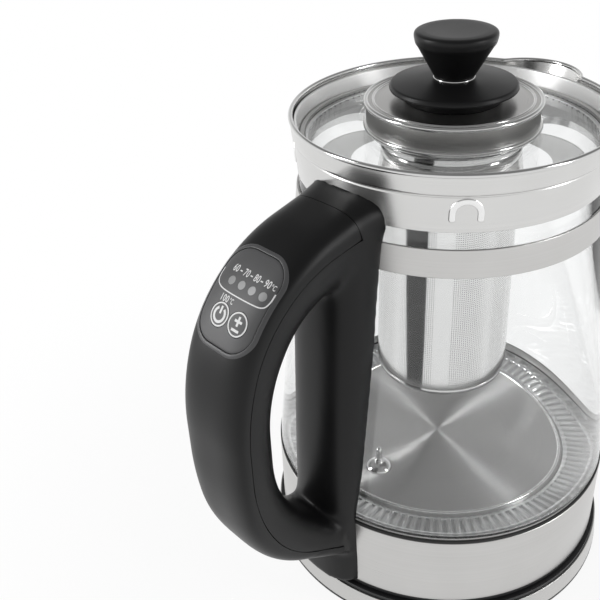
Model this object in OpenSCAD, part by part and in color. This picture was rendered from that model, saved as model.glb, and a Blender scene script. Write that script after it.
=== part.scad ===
// Glass electric tea kettle with a hanging infuser, a temperature panel in the handle
// and a round power base that the kettle turns on.
// Millimetres, +Z up. The origin is on the jar's axis at the table.
// The handle points to -X and the pouring lip to +X.

/* [Power base] */
// Outer radius of the power base at the table
base_r = 86; // [85:0.5:90]
// Height of the power base deck above the table
base_h = 15; // [14:0.5:17]
// How much narrower the steel skirt of the power base is at its top
base_draft = 1.8; // [1:0.1:2.2]

/* [Foot] */
// Radius of the brushed steel band round the foot of the kettle
foot_r = 82.5; // [81.5:0.5:83]
// Height of the brushed steel band
foot_h = 38; // [36:1:42]
// Width of the clear light ring round the heater plate
light_w = 16.1; // [14:0.1:18]
// Number of ribs on the clear light ring
rib_count = 48; // [36:6:60]

/* [Jar] */
// Height of the glass jar
jar_h = 157.5; // [150:0.5:165]
// Radius that the jar loses per millimetre of height
jar_taper = 0.1125; // [0.108:0.0005:0.117]
// Wall thickness of the glass
glass_t = 3; // [2.6:0.1:3.4]

/* [Collar] */
// Height of the steel collar from its lower edge to the rim
collar_h = 25; // [24:0.5:27]
// How far the collar hangs down over the glass
collar_lap = 11; // [9:0.5:13]
// Radius of the pouring lip at the rim, seen from above
lip_r = 24; // [21:0.5:27]
// How far the pouring lip stands out from the collar's bore
lip_out = 12; // [9:0.5:13]
// Height of the clamp band that carries the handle
clamp_h = 11.8; // [10:0.2:14]
// Clear glass between the collar and the clamp band
clamp_drop = 7; // [5:0.5:9]

/* [Infuser] */
// Outer radius of the infuser basket
basket_r = 31.4; // [29:0.2:32]
// Depth of the basket below its flange
basket_depth = 121; // [100:1:126]
// Number of holes round the basket
hole_columns = 18; // [12:2:24]
// Number of rows of holes
hole_rows = 8; // [5:1:9]
// Radius of a basket hole
hole_r = 1.1; // [0.8:0.1:1.4]
// Height of the steel cap that closes the infuser
cap_h = 12.4; // [11:0.2:15]

/* [Knob] */
// Radius of the knob at its top
knob_r = 15.8; // [14:0.2:18]
// Height of the knob
knob_h = 19; // [16:0.5:22]
// Radius of the black heat shield disc under the knob
shield_r = 26.4; // [24:0.2:29]

/* [Handle] */
// Half of the width of the grip
grip_w = 18; // [17.4:0.1:19]
// Half of the width of the spine against the glass
spine_w = 19.4; // [18:0.1:20]
// Radius of the spine's rounded edges
spine_edge = 8; // [6:0.5:11]
// Wall thickness of the grip cover at its sides
cover_t = 2.4; // [2:0.1:2.8]
// Half of the width of the control panel
panel_w = 14.8; // [14:0.1:15]
// Half of the length of the control panel, along the curve of the grip
panel_l = 19.5; // [18.5:0.5:20]

/* [Hidden] */
$fn = 96;

// Gaps: between bodies that part, in a running fit, and beside the glass
part_gap = 0.3;
turn_fit = 0.06;
glass_gap = 0.3;
seal_gap = 0.04;

// Levels from the table up
skirt_h = 2.5;
sheet = 1;
jar_seal_h = 2.7;
z_foot = base_h + part_gap;
z_band = z_foot + skirt_h;
z_lip = z_band + foot_h;
z_jar = z_lip + jar_seal_h;
z_mouth = z_jar + jar_h;
z_collar = z_mouth - collar_lap - 0.1;
z_rim = z_collar + collar_h + 0.1;
z_clamp1 = z_collar - clamp_drop;
z_clamp0 = z_clamp1 - clamp_h;
z_plate = z_lip - 1.5;
plate_t = 1.2;
z_spreader = z_plate - plate_t - 3;
z_chassis = z_lip - 5.8;

// Jar and collar radii
jar_r0 = foot_r - 0.54;
function jar_r(z) = jar_r0 - jar_taper * (z - z_jar);
collar_in = jar_r(z_collar) + 0.02;
collar_r = collar_in + sheet;
crease_z = z_collar + 0.6 * collar_h;
crease_out = 1.1;
crease_h = 1.2;
flare_out = 1.8;
rim_out = 2.5;
bead_r = 1;
function collar_bore(z) = collar_in + crease_out * (z - z_collar) / (crease_z - z_collar);

// Feet, screws and cord gland of the power base
feet_ring = base_r - 16;
feet_r = 5;
feet_h = 1.8;
plate_z0 = 1;
plate_z1 = 3;
base_screw_ring = base_r - 31;
base_screw_from = 30;
base_screw_len = 8.5;
base_pilot_r = 1.3;
base_head_r = 3;
base_head_h = 0.8;
base_head_z = plate_z0 + 0.1;
deck_rim = 2.2;
gland_r = 3.4;
gland_bore = 2.4;
gland_flange = 0.7;
gland_x0 = base_r - 7.4;
gland_x1 = base_r + 1;
gland_z = (plate_z1 + base_h - deck_rim) / 2;

// Connector in the middle of the power base
post_r = 10;
boss_r = 22;
boss_h = 2.5;
ring_r = 16;
ring_h = 3.2;
neck_r = 8.5;
z_boss = base_h + boss_h;
z_ring = z_boss + part_gap;
z_step = z_ring + ring_h + 0.5;
z_post = z_step + 9.5;
slot_in = 4.4;
slot_out = 6.6;
pin_bore = 2.6;
liner = 0.6;
z_slot = z_step + 0.5;

// Foot of the kettle
z_deck = z_foot + 2.9;
deck_t = 2.4;
socket_bore = 17;
socket_top = z_post + 9;
z_ceiling = z_post + 1.5;
boss_ring = foot_r - 12.5;
cover_screw_r = 1.6;
cover_pilot_r = 1.4;
cover_head_r = 3.2;
cover_screw_len = 12;
seal_w = 1.3;
lip_in = 3.2;
light_gap = 0.3;
plate_r = foot_r - lip_in - light_gap - light_w - seal_w;
foot_screw_z = [z_band + 0.25 * foot_h, z_band + 0.5 * foot_h];
foot_screw_r = 1.6;
foot_screw_len = 6;
foot_head_r = 2.8;
foot_head_h = 1.8;
sensor_at = [21.1 - plate_r, 3];

// Lid and infuser levels
z_lid = z_mouth + part_gap;
lid_r = collar_bore(z_mouth) - 0.7;
lid_floor = 0.9;
lid_seat = 4.6;
lid_seal_in = 2.8;
lid_wall = 1;
lid_plate_t = 3;
z_lid_plate = z_lid + lid_floor;
z_hang = z_lid_plate + lid_plate_t + part_gap;
hang_t = 1.2;
hang_r = basket_r + 4.1;
lid_hole = basket_r + 1.6;
basket_t = 0.8;
neck_drop = 12;
floor_h = 4;
z_basket = z_hang - basket_depth;
z_cap = z_hang + hang_t + part_gap;
z_cap_top = z_cap + cap_h;
cap_r = basket_r + 5;
cap_t = 0.8;
z_shield = z_cap_top + 5.2;
shield_t = 2.3;
z_knob = z_shield + shield_t + 1.1;
neck_knob_r = 9.2;
screw_r = 2;

// Handle profile in its own plane: x outward from the axis, z up, heading in degrees.
// Each line is [start, straight, bends, straight, bends, straight]; a bend is [radius, angle].
bend_drop = 186.7;
stretch = z_mouth - z_foot - bend_drop;
crown_line = [[foot_r - 5.9, z_mouth - 2.86, -13], 12.4, [[67.5, 55], [93, 22]],
    stretch, [[172, 9.2], [56, 48.2]], 32];
seam_line = [[foot_r - 8.5, z_mouth - 13.7, -9], 14, [[54, 61], [96, 20]],
    stretch, [[83, 28], [60, 34.5]], 14];
inner_line = [[foot_r - 9.5, z_mouth - 35.5, -8.5], 12.9, [[31.3, 42.3], [57, 39.2]],
    stretch, [[71.2, 53]], 2.5];
spine_lean = 2.79;
spine_foot = [foot_r + 6.8, z_band];
spine_top = z_mouth - 26;
crown_power = 3.3;
inner_power = 2.5;
root_power = 3.4;
root_flare = [2, 1.2];
bend_steps = 12;
half_points = 13;

// State after a straight or bent piece: [x, z, heading]
function ahead(s, l) = [s[0] + l * cos(s[2]), s[1] + l * sin(s[2]), s[2]];
function turn(s, r, a) = [s[0] + r * (sin(s[2]) - sin(s[2] - a)),
    s[1] + r * (cos(s[2] - a) - cos(s[2])), s[2] - a];
function bent(s, b, a) = len(b) == 1 || a <= b[0][1]
    ? turn(s, b[0][0], a)
    : turn(turn(s, b[0][0], b[0][1]), b[1][0], a - b[0][1]);
function bend_sum(b) = len(b) == 1 ? b[0][1] : b[0][1] + b[1][1];
function mark1(c) = ahead(c[0], c[1]);
function mark2(c) = bent(mark1(c), c[2], bend_sum(c[2]));
function mark3(c) = ahead(mark2(c), c[3]);
function mark4(c) = bent(mark3(c), c[4], bend_sum(c[4]));

// Place on a line: 0 to 1 first straight, to 2 upper bend, to 3 straight, to 4 lower bend, to 5 last straight
function place(c, u) = u < 1 ? ahead(c[0], u * c[1])
    : u < 2 ? bent(mark1(c), c[2], (u - 1) * bend_sum(c[2]))
    : u < 3 ? ahead(mark2(c), (u - 2) * c[3])
    : u < 4 ? bent(mark3(c), c[4], (u - 3) * bend_sum(c[4]))
    : ahead(mark4(c), (u - 4) * c[5]);

// Rounded half section: y across and f from 0 at the seam to 1 at the crown
function half_oval(w, n, power) = [for (i = [0 : n - 1]) let (t = 180 * i / (n - 1), c = cos(t), k = sin(t))
    [-w * sign(c) * pow(abs(c), 2 / power), pow(max(k, 0), 2 / power)]];

// Half width of the grip, flared at both roots, and squareness of its finger side
function grip_half(u) = grip_w + root_flare[0] * max(0, -u) + root_flare[1] * max(0, u - 4);
function finger_power(u) = inner_power + (root_power - inner_power) * max(0, min(1, (u - 3.3) / 1.5));

// Point of a section at place u: f of the way from the seam towards another line
function off_seam(c, u, f, y) = let (a = place(seam_line, u), b = place(c, u))
    [a[0] + f * (b[0] - a[0]), y, a[1] + f * (b[1] - a[1])];

// Control panel: flush with the crown of the grip, in its first bend about bend_c
bend = mark1(crown_line);
bend_r = crown_line[2][0][0];
bend_c = [bend[0] + bend_r * sin(bend[2]), bend[1] - bend_r * cos(bend[2])];
panel_mid = 43.7;
panel_u = 1 + (90 + bend[2] - panel_mid) / bend_sum(crown_line[2]);
panel_reach = 0.4;
panel_t = 1.2;
panel_gap = 0.2;
panel_corner = 10;
bezel_wide = 1.8;
bezel_proud = 0.15;
ledge_t = 0.7;
ledge_w = 2;
crown_wall = 3.6;
key_r = 4.75;
key_gap = 0.25;
key_t = 1.8;
key_y = [-4, 6.2];
key_at = 36.6;
key_play = 0.9;
lamp_r = 1.8;
lamp_at = 47.9;
lamp_y = [-6.4, -0.7, 5, 10.7];
board_out = bend_r - 9.3;
board_t = 1.5;
board_l = 17;
board_w = 12;
switch_h = 2.2;
grip_screw_dz = [8, -8];
grip_screw_r = 1.4;
grip_head_r = 2.9;
grip_seat = 5;

// Shared shapes

// Solid of revolution from [radius, height] points
module turned(points) {
    rotate_extrude() polygon(points);
}

// Ring of rectangular section
module ring(r_in, r_out, z0, z1) {
    rotate_extrude() translate([r_in, z0]) square([r_out - r_in, z1 - z0]);
}

// Copies of a child on a circle
module around(count, r, from = 0) {
    for (i = [0 : count - 1]) rotate([0, 0, from + 360 * i / count]) translate([r, 0, 0]) children();
}

// Solid lofted through rings of points; ring and row counts follow from the list
module loft(rings, open_shell = false) {
    n = len(rings[0]);
    rows = len(rings);
    half = n / 2;
    sides = [for (i = [0 : rows - 2], j = [0 : n - 1]) let (a = i * n + j, b = i * n + (j + 1) % n)
        each [[a, b, b + n], [a, b + n, a + n]]];
    last = (rows - 1) * n;
    caps = open_shell
        ? [for (k = [0 : half - 2]) each [[k + 1, k, n - 1 - k], [k + 1, n - 1 - k, n - 2 - k],
            [last + k, last + k + 1, last + n - 2 - k], [last + k, last + n - 2 - k, last + n - 1 - k]]]
        : [[for (j = [n - 1 : -1 : 0]) j], [for (j = [0 : n - 1]) last + j]];
    polyhedron([for (r = rings) each r], concat(sides, caps));
}

// Places along the grip: both straights' ends and even steps round the bends
function grip_places() = concat([for (i = [1 : bend_steps]) 1 + i / bend_steps],
    [for (i = [0 : bend_steps]) 3 + i / bend_steps]);

// Envelope of the kettle that the handle fits against
module kettle_envelope() {
    turned([[0, 0], [foot_r, 0], [foot_r, z_jar + glass_gap],
        [jar_r(z_jar) + glass_gap, z_jar + glass_gap],
        [jar_r(z_clamp0) + glass_gap, z_clamp0 - glass_gap],
        [jar_r(z_clamp0) + sheet, z_clamp0 - glass_gap],
        [jar_r(z_clamp1) + sheet, z_clamp1 + glass_gap],
        [jar_r(z_clamp1) + glass_gap, z_clamp1 + glass_gap],
        [jar_r(z_collar) + glass_gap, z_collar - glass_gap],
        [collar_r, z_collar - glass_gap],
        [collar_r + crease_out, crease_z],
        [collar_r + rim_out + bead_r, crease_z + 2 * bead_r],
        [collar_r + rim_out + bead_r, z_rim + collar_h],
        [0, z_rim + collar_h]]);
}

// The handle is drawn pointing to +X and turned to -X
module to_handle_side() {
    rotate([0, 0, 180]) children();
}

// Places a child on the panel: x runs down the grip, y across, z outward from the bend
module on_panel(at) {
    translate([bend_c[0], 0, bend_c[1]]) rotate([0, 90 - at, 0]) children();
}

// Sheet that follows the crown of the grip round the panel, between two offsets from its skin
function crown_ring(u, low, high) = let (a = place(seam_line, u), b = place(crown_line, u),
        deep = norm([b[0] - a[0], b[1] - a[1]]), oval = half_oval(grip_w, half_points, crown_power),
        last = half_points - 2)
    concat([for (i = [1 : last]) off_seam(crown_line, u, oval[i][1] * (1 + high / deep), oval[i][0])],
        [for (i = [last : -1 : 1]) off_seam(crown_line, u, oval[i][1] * (1 + low / deep), oval[i][0])]);

module crown_sheet(low, high) {
    loft([for (u = grip_places()) if (abs(u - panel_u) < panel_reach) crown_ring(u, low, high)], true);
}

// Straight prism with the panel's rounded outline, along the panel's mean normal
module panel_prism(l, w, corner) {
    on_panel(panel_mid) linear_extrude(2 * bend_r) {
        translate([-l, corner - w]) square([2 * l, 2 * (w - corner)]);
        translate([corner - l, -w]) square([2 * (l - corner), 2 * w]);
        for (i = [-1, 1], j = [-1, 1])
            translate([i * (l - corner), j * (w - corner)]) circle(corner);
    }
}

// Countersunk screw, head at z = 0 and point down
module screw(head_r, shank_r, len, head_h) {
    translate([0, 0, -head_h]) cylinder(r = head_r, h = head_h);
    translate([0, 0, -len]) cylinder(r = shank_r, h = len - head_h / 2);
}

// Power base

// Pads that the base stands on: four near the rim and one under the connector
module foot_pads() {
    cylinder(r = feet_r, h = feet_h);
    around(4, feet_ring, 45) cylinder(r = feet_r, h = feet_h);
}

module base_plate() {
    chamfer = [1, 0.8];
    color([0.06, 0.06, 0.065])
    difference() {
        turned([[0, plate_z0], [base_r - chamfer[0], plate_z0], [base_r, plate_z0 + chamfer[1]],
            [base_r, plate_z1], [0, plate_z1]]);
        foot_pads();
        around(3, base_screw_ring, base_screw_from) {
            cylinder(r = base_pilot_r + part_gap, h = 2 * plate_z1);
            cylinder(r = base_head_r + part_gap, h = base_head_z + base_head_h);
        }
    }
}

module base_feet() {
    color([0.12, 0.12, 0.12])
    foot_pads();
}

// Way out for the lead, through skirt and shell
module gland_hole() {
    translate([gland_x0, 0, gland_z]) rotate([0, 90, 0])
        cylinder(r = gland_r + seal_gap, h = 2 * (gland_x1 - gland_x0));
}

module base_shell() {
    top = base_r - base_draft;
    z1 = base_h - deck_rim;
    wall = 2;
    boss_screw_r = 4;
    sunk = 0.5;
    color([0.05, 0.05, 0.055])
    difference() {
        union() {
            turned([[post_r, z1 - wall], [post_r, z_boss], [boss_r, z_boss], [boss_r + boss_h, base_h],
                [top, base_h], [top, z1], [top - sheet, z1], [base_r - sheet, plate_z1],
                [base_r - sheet - wall, plate_z1], [top - sheet - wall, z1], [boss_r, z1],
                [boss_r, z1 + boss_h], [post_r + wall, z1 + boss_h], [post_r + wall, z1 - wall]]);
            around(3, base_screw_ring, base_screw_from) translate([0, 0, plate_z1])
                cylinder(r = boss_screw_r, h = z1 - plate_z1 + sunk);
        }
        around(3, base_screw_ring, base_screw_from)
            cylinder(r = base_pilot_r, h = base_head_z + base_screw_len);
        gland_hole();
    }
}

module base_skirt() {
    top = base_r - base_draft;
    z1 = base_h - deck_rim;
    color([0.78, 0.78, 0.77])
    difference() {
        turned([[base_r - sheet, plate_z1], [base_r, plate_z1], [top, z1], [top - sheet, z1]]);
        gland_hole();
    }
}

module base_screws() {
    color([0.6, 0.6, 0.62])
    around(3, base_screw_ring, base_screw_from) translate([0, 0, base_head_z]) mirror([0, 0, 1])
        screw(base_head_r, base_pilot_r, base_screw_len, base_head_h);
}

module connector_post() {
    root = 4.2;
    soft = 1;
    z0 = base_h - root;
    color([0.08, 0.08, 0.085])
    turned([[0, z0], [post_r, z0], [post_r, z_step], [neck_r, z_step], [neck_r, z_post - soft],
        [neck_r - soft, z_post], [slot_out, z_post], [slot_out, z_slot], [slot_in, z_slot],
        [slot_in, z_post], [pin_bore, z_post], [pin_bore, z_slot], [0, z_slot]]);
}

module post_contacts() {
    color([0.8, 0.6, 0.3]) {
        ring(pin_bore - liner, pin_bore, z_slot, z_post - 1);
        ring(slot_out - liner, slot_out, z_slot, z_post - 1);
    }
}

module cord_gland() {
    flange_t = 1.6;
    long = gland_x1 - gland_x0;
    color([0.1, 0.1, 0.1])
    translate([gland_x0, 0, gland_z]) rotate([0, 90, 0])
    difference() {
        union() {
            cylinder(r = gland_r, h = long);
            cylinder(r = gland_r + gland_flange, h = flange_t);
        }
        translate([0, 0, -1]) cylinder(r = gland_bore, h = long + 2);
    }
}

module turn_ring() {
    soft = 1;
    color([0.13, 0.13, 0.14])
    turned([[post_r + turn_fit, z_ring], [ring_r, z_ring], [ring_r, z_ring + ring_h - soft],
        [ring_r - soft, z_ring + ring_h], [post_r + turn_fit, z_ring + ring_h]]);
}

// Foot of the kettle

module bottom_cover() {
    rim = foot_r - 0.2;
    inner = foot_r - sheet;
    rim_w = 8.5;
    soft = 0.6;
    up = 5;
    wall = 2;
    color([0.05, 0.05, 0.055])
    difference() {
        turned([[socket_bore, z_deck], [foot_r - rim_w, z_deck], [foot_r - rim_w, z_foot],
            [rim - soft, z_foot], [rim, z_foot + soft], [rim, z_band], [inner, z_band], [inner, z_band + up],
            [inner - wall, z_band + up], [inner - wall, z_deck + deck_t], [socket_bore, z_deck + deck_t]]);
        around(3, boss_ring) translate([0, 0, z_deck - 1]) {
            cylinder(r = cover_screw_r, h = 2 * deck_t);
            cylinder(r = cover_head_r, h = 2);
        }
    }
}

module cover_screws() {
    color([0.6, 0.6, 0.62])
    around(3, boss_ring) translate([0, 0, z_deck]) mirror([0, 0, 1])
        screw(cover_head_r - 0.2, cover_pilot_r, cover_screw_len, 1);
}

module socket() {
    flange = 26;
    flange_t = 2;
    barrel = 14;
    shoulder = [5, 6];
    bore = neck_r + 0.6;
    z0 = z_deck + deck_t;
    z_throat = z_step + 1.2;
    color([0.09, 0.09, 0.095])
    turned([[socket_bore, z0], [flange, z0], [flange, z0 + flange_t],
        [barrel + shoulder[0], z0 + 1.2 * flange_t], [barrel, z0 + shoulder[1]], [barrel, socket_top],
        [0, socket_top], [0, z_ceiling], [bore, z_ceiling], [bore, z_throat], [socket_bore, z_throat]]);
}

module socket_pins() {
    pin_r = 1.7;
    foot = z_slot + 1;
    color([0.8, 0.6, 0.3]) {
        translate([0, 0, foot]) cylinder(r = pin_r, h = z_ceiling - foot);
        ring(slot_in + 0.6, slot_out - liner - part_gap, foot, z_ceiling);
    }
}

module foot_chassis() {
    inner = foot_r - sheet;
    flange_t = 3;
    wall = 2;
    lip = plate_r - 1.6;
    skirt = 9;
    sunk = 0.5;
    boss_r_foot = 4;
    color([0.16, 0.16, 0.17])
    difference() {
        union() {
            turned([[lip, z_chassis - flange_t], [inner - wall, z_chassis - flange_t],
                [inner - wall, z_chassis - skirt], [inner, z_chassis - skirt], [inner, z_lip - sheet],
                [inner - wall, z_lip - sheet], [inner - wall, z_chassis], [lip, z_chassis]]);
            around(3, boss_ring) translate([0, 0, z_deck + deck_t])
                cylinder(r = boss_r_foot, h = z_chassis - flange_t - z_deck - deck_t + sunk);
        }
        around(3, boss_ring) translate([0, 0, z_deck]) cylinder(r = cover_pilot_r, h = cover_screw_len + 2);
    }
}

module foot_band() {
    inner = foot_r - sheet;
    color([0.74, 0.73, 0.71])
    difference() {
        turned([[inner, z_band], [foot_r, z_band], [foot_r, z_lip], [foot_r - lip_in, z_lip],
            [foot_r - lip_in, z_lip - sheet], [inner, z_lip - sheet]]);
        for (z = foot_screw_z) translate([-foot_r, 0, z]) rotate([0, 90, 0])
            cylinder(r = foot_screw_r + seal_gap, h = 4 * sheet, center = true);
    }
}

module control_unit() {
    unit_r = 16;
    color([0.2, 0.2, 0.21])
    translate([0, 0, socket_top]) cylinder(r = unit_r, h = z_spreader - socket_top);
}

module heater_element() {
    ring_at = 44;
    tube = 3.6;
    flat = 2.4;
    open_half = 20;
    end_at = 24;
    pin_r = 1.6;
    pin_l = 14;
    z_mid = z_spreader - tube;
    color([0.55, 0.55, 0.56]) {
        rotate([0, 0, open_half]) rotate_extrude(angle = 360 - 2 * open_half) translate([ring_at, z_mid]) {
            circle(tube, $fn = 48);
            translate([-flat, 0]) square([2 * flat, tube]);
        }
        for (m = [-1, 1]) rotate([0, 0, m * end_at]) translate([ring_at, 0, z_mid - pin_l])
            cylinder(r = pin_r, h = pin_l);
    }
}

module heat_spreader() {
    margin = 5;
    color([0.7, 0.71, 0.72])
    ring(0, plate_r - margin, z_spreader, z_plate - plate_t);
}

module heater_plate() {
    wall = 1;
    bead = 0.9;
    color([0.72, 0.71, 0.69]) {
        turned([[0, z_plate - plate_t], [plate_r - wall, z_plate - plate_t], [plate_r - wall, z_chassis],
            [plate_r, z_chassis], [plate_r, z_plate], [0, z_plate]]);
        translate([0, 0, z_plate]) rotate_extrude() translate([plate_r - bead, 0]) circle(bead, $fn = 32);
    }
}

module plate_seal() {
    color([0.8, 0.8, 0.8])
    ring(plate_r, plate_r + seal_w, z_chassis, z_plate - 0.4);
}

module sensor_probe() {
    dome = 6.3;
    dome_h = 3.4;
    nut_r = 2.2;
    nut_h = 4;
    rod_r = 1.5;
    tip = 12.6;
    sunk = 1;
    ball = (dome * dome + dome_h * dome_h) / (2 * dome_h);
    color([0.8, 0.8, 0.79])
    translate([sensor_at[0], sensor_at[1], z_plate]) {
        intersection() {
            translate([0, 0, dome_h - ball]) sphere(ball);
            cylinder(r = dome, h = 2 * dome_h);
        }
        translate([0, 0, sunk]) cylinder(r = nut_r, h = nut_h);
        translate([0, 0, sunk]) cylinder(r = rod_r, h = tip - rod_r - sunk);
        translate([0, 0, tip - rod_r]) sphere(rod_r);
    }
}

module light_ring() {
    z0 = z_chassis;
    r0 = plate_r + seal_w;
    r1 = r0 + light_w;
    mid = r0 + 0.64 * light_w;
    z_mid = z0 + 4.4;
    z_low = z0 + 3.2;
    rib_h = 0.8;
    rib_l = 8;
    square_l = 2.8;
    sunk = 0.5;
    rib_w = PI * r0 / rib_count;
    color([0.86, 0.88, 0.88]) {
        turned([[r0, z0], [r1, z0], [r1, z_low], [mid, z_low], [mid, z_mid], [r0, z_mid]]);
        around(rib_count, (r0 + mid) / 2) translate([-rib_l / 2, -rib_w / 2, z_mid - sunk])
            cube([rib_l, rib_w, rib_h + sunk]);
        around(rib_count, (mid + r1) / 2) translate([-square_l / 2, -rib_w / 2, z_low - sunk])
            cube([square_l, rib_w, rib_h + sunk]);
    }
}

module jar_seal() {
    soft = 0.5;
    edge = foot_r - 0.1;
    color([0.05, 0.05, 0.05])
    turned([[foot_r - lip_in, z_lip], [edge, z_lip], [edge, z_jar - soft], [edge - soft, z_jar],
        [foot_r - lip_in, z_jar]]);
}

// Jar, collar and lid seat

module glass_jar() {
    soft = 0.8;
    color([0.85, 0.92, 0.92, 0.35])
    turned([[jar_r(z_jar) - glass_t, z_jar], [jar_r(z_jar), z_jar], [jar_r(z_mouth - soft), z_mouth - soft],
        [jar_r(z_mouth) - soft, z_mouth], [jar_r(z_mouth) - glass_t + soft, z_mouth],
        [jar_r(z_mouth - soft) - glass_t, z_mouth - soft]]);
}

module clamp_band() {
    color([0.74, 0.73, 0.71])
    turned([[jar_r(z_clamp0), z_clamp0], [jar_r(z_clamp0) + sheet, z_clamp0],
        [jar_r(z_clamp1) + sheet, z_clamp1], [jar_r(z_clamp1), z_clamp1]]);
}

module collar_seal() {
    margin = [3, 1];
    z0 = z_collar + margin[0];
    z1 = z_mouth - margin[1];
    color([0.8, 0.8, 0.8])
    turned([[jar_r(z0), z0], [collar_bore(z0) - seal_gap, z0], [collar_bore(z1) - seal_gap, z1],
        [jar_r(z1), z1]]);
}

// Inside of the collar as a solid, for trimming the pouring lip
module collar_inside() {
    over = 5;
    turned([[0, z_collar - over], [collar_in, z_collar - over], [collar_in, z_collar],
        [collar_in + crease_out, crease_z], [collar_in + flare_out, crease_z + crease_h],
        [collar_in + rim_out, z_rim - bead_r], [collar_in + rim_out, z_rim + over], [0, z_rim + over]]);
}

// Cone of the pouring lip, swollen by a thickness
lip_x = collar_in + lip_out - lip_r;
lip_rise = 3;
module lip_cone(thick) {
    z0 = z_collar + lip_rise;
    foot = lip_r - lip_out - 1;
    flare = (lip_r - foot) / (z_rim - z0);
    over = 4;
    translate([lip_x, 0, z0])
        cylinder(r1 = foot + thick, r2 = lip_r + thick + over * flare, h = z_rim - z0 + over);
}

// Raised arch pressed into the collar beside the handle
module collar_arch(angle) {
    arch_r = 5.4;
    wire = 1;
    leg = 4.4;
    z_mid = z_collar + 0.36 * collar_h;
    at = collar_r + 0.28;
    rotate([0, 0, angle]) translate([at, 0, z_mid]) {
        rotate([90, 0, 90]) rotate_extrude(angle = 180) translate([arch_r, 0]) circle(wire, $fn = 32);
        for (m = [-1, 1]) translate([0, m * arch_r, -leg]) cylinder(r = wire, h = leg, $fn = 32);
        for (m = [-1, 1]) translate([0, m * arch_r, -leg]) sphere(wire, $fn = 32);
    }
}

module collar() {
    arch_at = 43.7;
    nick = 0.4;
    bead_in = 0.5;
    reach = 40;
    color([0.79, 0.79, 0.78])
    union() {
        difference() {
            union() {
                turned([[collar_in, z_collar], [collar_r, z_collar], [collar_r + crease_out, crease_z],
                    [collar_r + crease_out - nick, crease_z + nick],
                    [collar_r + flare_out, crease_z + crease_h], [collar_r + rim_out, z_rim - bead_r],
                    [collar_in + rim_out, z_rim - bead_r],
                    [collar_in + flare_out, crease_z + crease_h], [collar_in + crease_out, crease_z]]);
                translate([0, 0, z_rim - bead_r]) rotate_extrude()
                    translate([collar_r + rim_out - bead_in, 0]) circle(bead_r, $fn = 48);
                difference() {
                    intersection() {
                        lip_cone(sheet);
                        ring(0, collar_r + reach, z_collar, z_rim - bead_r);
                    }
                    collar_inside();
                }
            }
            intersection() {
                lip_cone(0);
                translate([collar_in - 2 * lip_out, -2 * lip_r, z_collar])
                    cube([6 * lip_out, 4 * lip_r, 2 * collar_h]);
            }
        }
        difference() {
            translate([lip_x, 0, z_rim - bead_r]) rotate_extrude()
                translate([lip_r + sheet - bead_in, 0]) circle(bead_r, $fn = 48);
            collar_inside();
        }
        difference() {
            for (m = [-1, 1]) collar_arch(180 + m * arch_at);
            collar_inside();
        }
    }
}

// Handle

// Bar section with round edges at x = 0
module rounded_bar(w, edge, depth) {
    translate([edge, -w]) square([depth - edge, 2 * w]);
    translate([0, edge - w]) square([depth, 2 * (w - edge)]);
    for (m = [-1, 1]) translate([edge, m * (w - edge)]) circle(edge);
}

module spine_bar() {
    inset = 30;
    under = 4;
    translate([spine_foot[0], 0, spine_foot[1]]) rotate([0, -spine_lean, 0])
        translate([0, 0, -under]) linear_extrude(spine_top - spine_foot[1] + under)
            mirror([1, 0]) rounded_bar(spine_w, spine_edge, inset);
}

// Full section of the grip, or only the half inside the seam
function frame_ring(u, whole) = concat(
    [for (p = half_oval(grip_half(u), half_points, crown_power))
        off_seam(crown_line, u, whole ? p[1] : 0, p[0])],
    [for (i = [1 : half_points - 2]) let (p = half_oval(grip_half(u), half_points, finger_power(u))[i])
        off_seam(inner_line, u, p[1], -p[0])]);

// Section of the cover: outer skin, then inner skin back
function cover_ring(u) = let (a = place(seam_line, u), b = place(crown_line, u),
        deep = norm([b[0] - a[0], b[1] - a[1]]), inner = max(1 - crown_wall / deep, 0.25), n = half_points)
    concat([for (p = half_oval(grip_half(u), n, crown_power)) off_seam(crown_line, u, p[1], p[0])],
        [for (i = [n - 1 : -1 : 0]) let (p = half_oval(grip_half(u) - cover_t, n, crown_power)[i])
            off_seam(crown_line, u, inner * p[1], p[0])]);

// Height of the middle of the grip's upright part, and its seam and inner face there
grip_mid = mark2(seam_line)[1] - stretch / 2;
grip_seam_x = mark2(seam_line)[0];
grip_inner_x = mark2(inner_line)[0];
grip_crown_x = mark2(crown_line)[0];

module handle_frame() {
    step = 0.012;
    room = 1;
    below = 30;
    head_room = part_gap;
    color([0.07, 0.07, 0.075])
    to_handle_side()
    difference() {
        union() {
            spine_bar();
            loft(concat([for (u = [-1.2, 0]) frame_ring(u, true)],
                [for (u = concat([step, 1], grip_places())) frame_ring(u, false)],
                [frame_ring(5 - step, false), frame_ring(5, true), frame_ring(5.3, true)]));
        }
        kettle_envelope();
        translate([0, -2 * spine_w, z_band - below]) cube([2 * foot_r, 4 * spine_w, below]);
        on_panel(panel_mid) translate([-board_l - room, -board_w - room, board_out - board_t])
            cube([2 * (board_l + room), 2 * (board_w + room), bend_r - board_out]);
        for (z = foot_screw_z) translate([foot_r - sheet, 0, z]) rotate([0, 90, 0])
            cylinder(r = foot_screw_r, h = foot_screw_len + 0.4);
        for (dz = grip_screw_dz) translate([grip_inner_x, 0, grip_mid + dz]) rotate([0, 90, 0]) {
            translate([0, 0, -grip_seat]) cylinder(r = grip_head_r + head_room, h = 2 * grip_seat);
            cylinder(r = grip_screw_r + head_room, h = 2 * (grip_seam_x - grip_inner_x));
        }
    }
}

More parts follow.
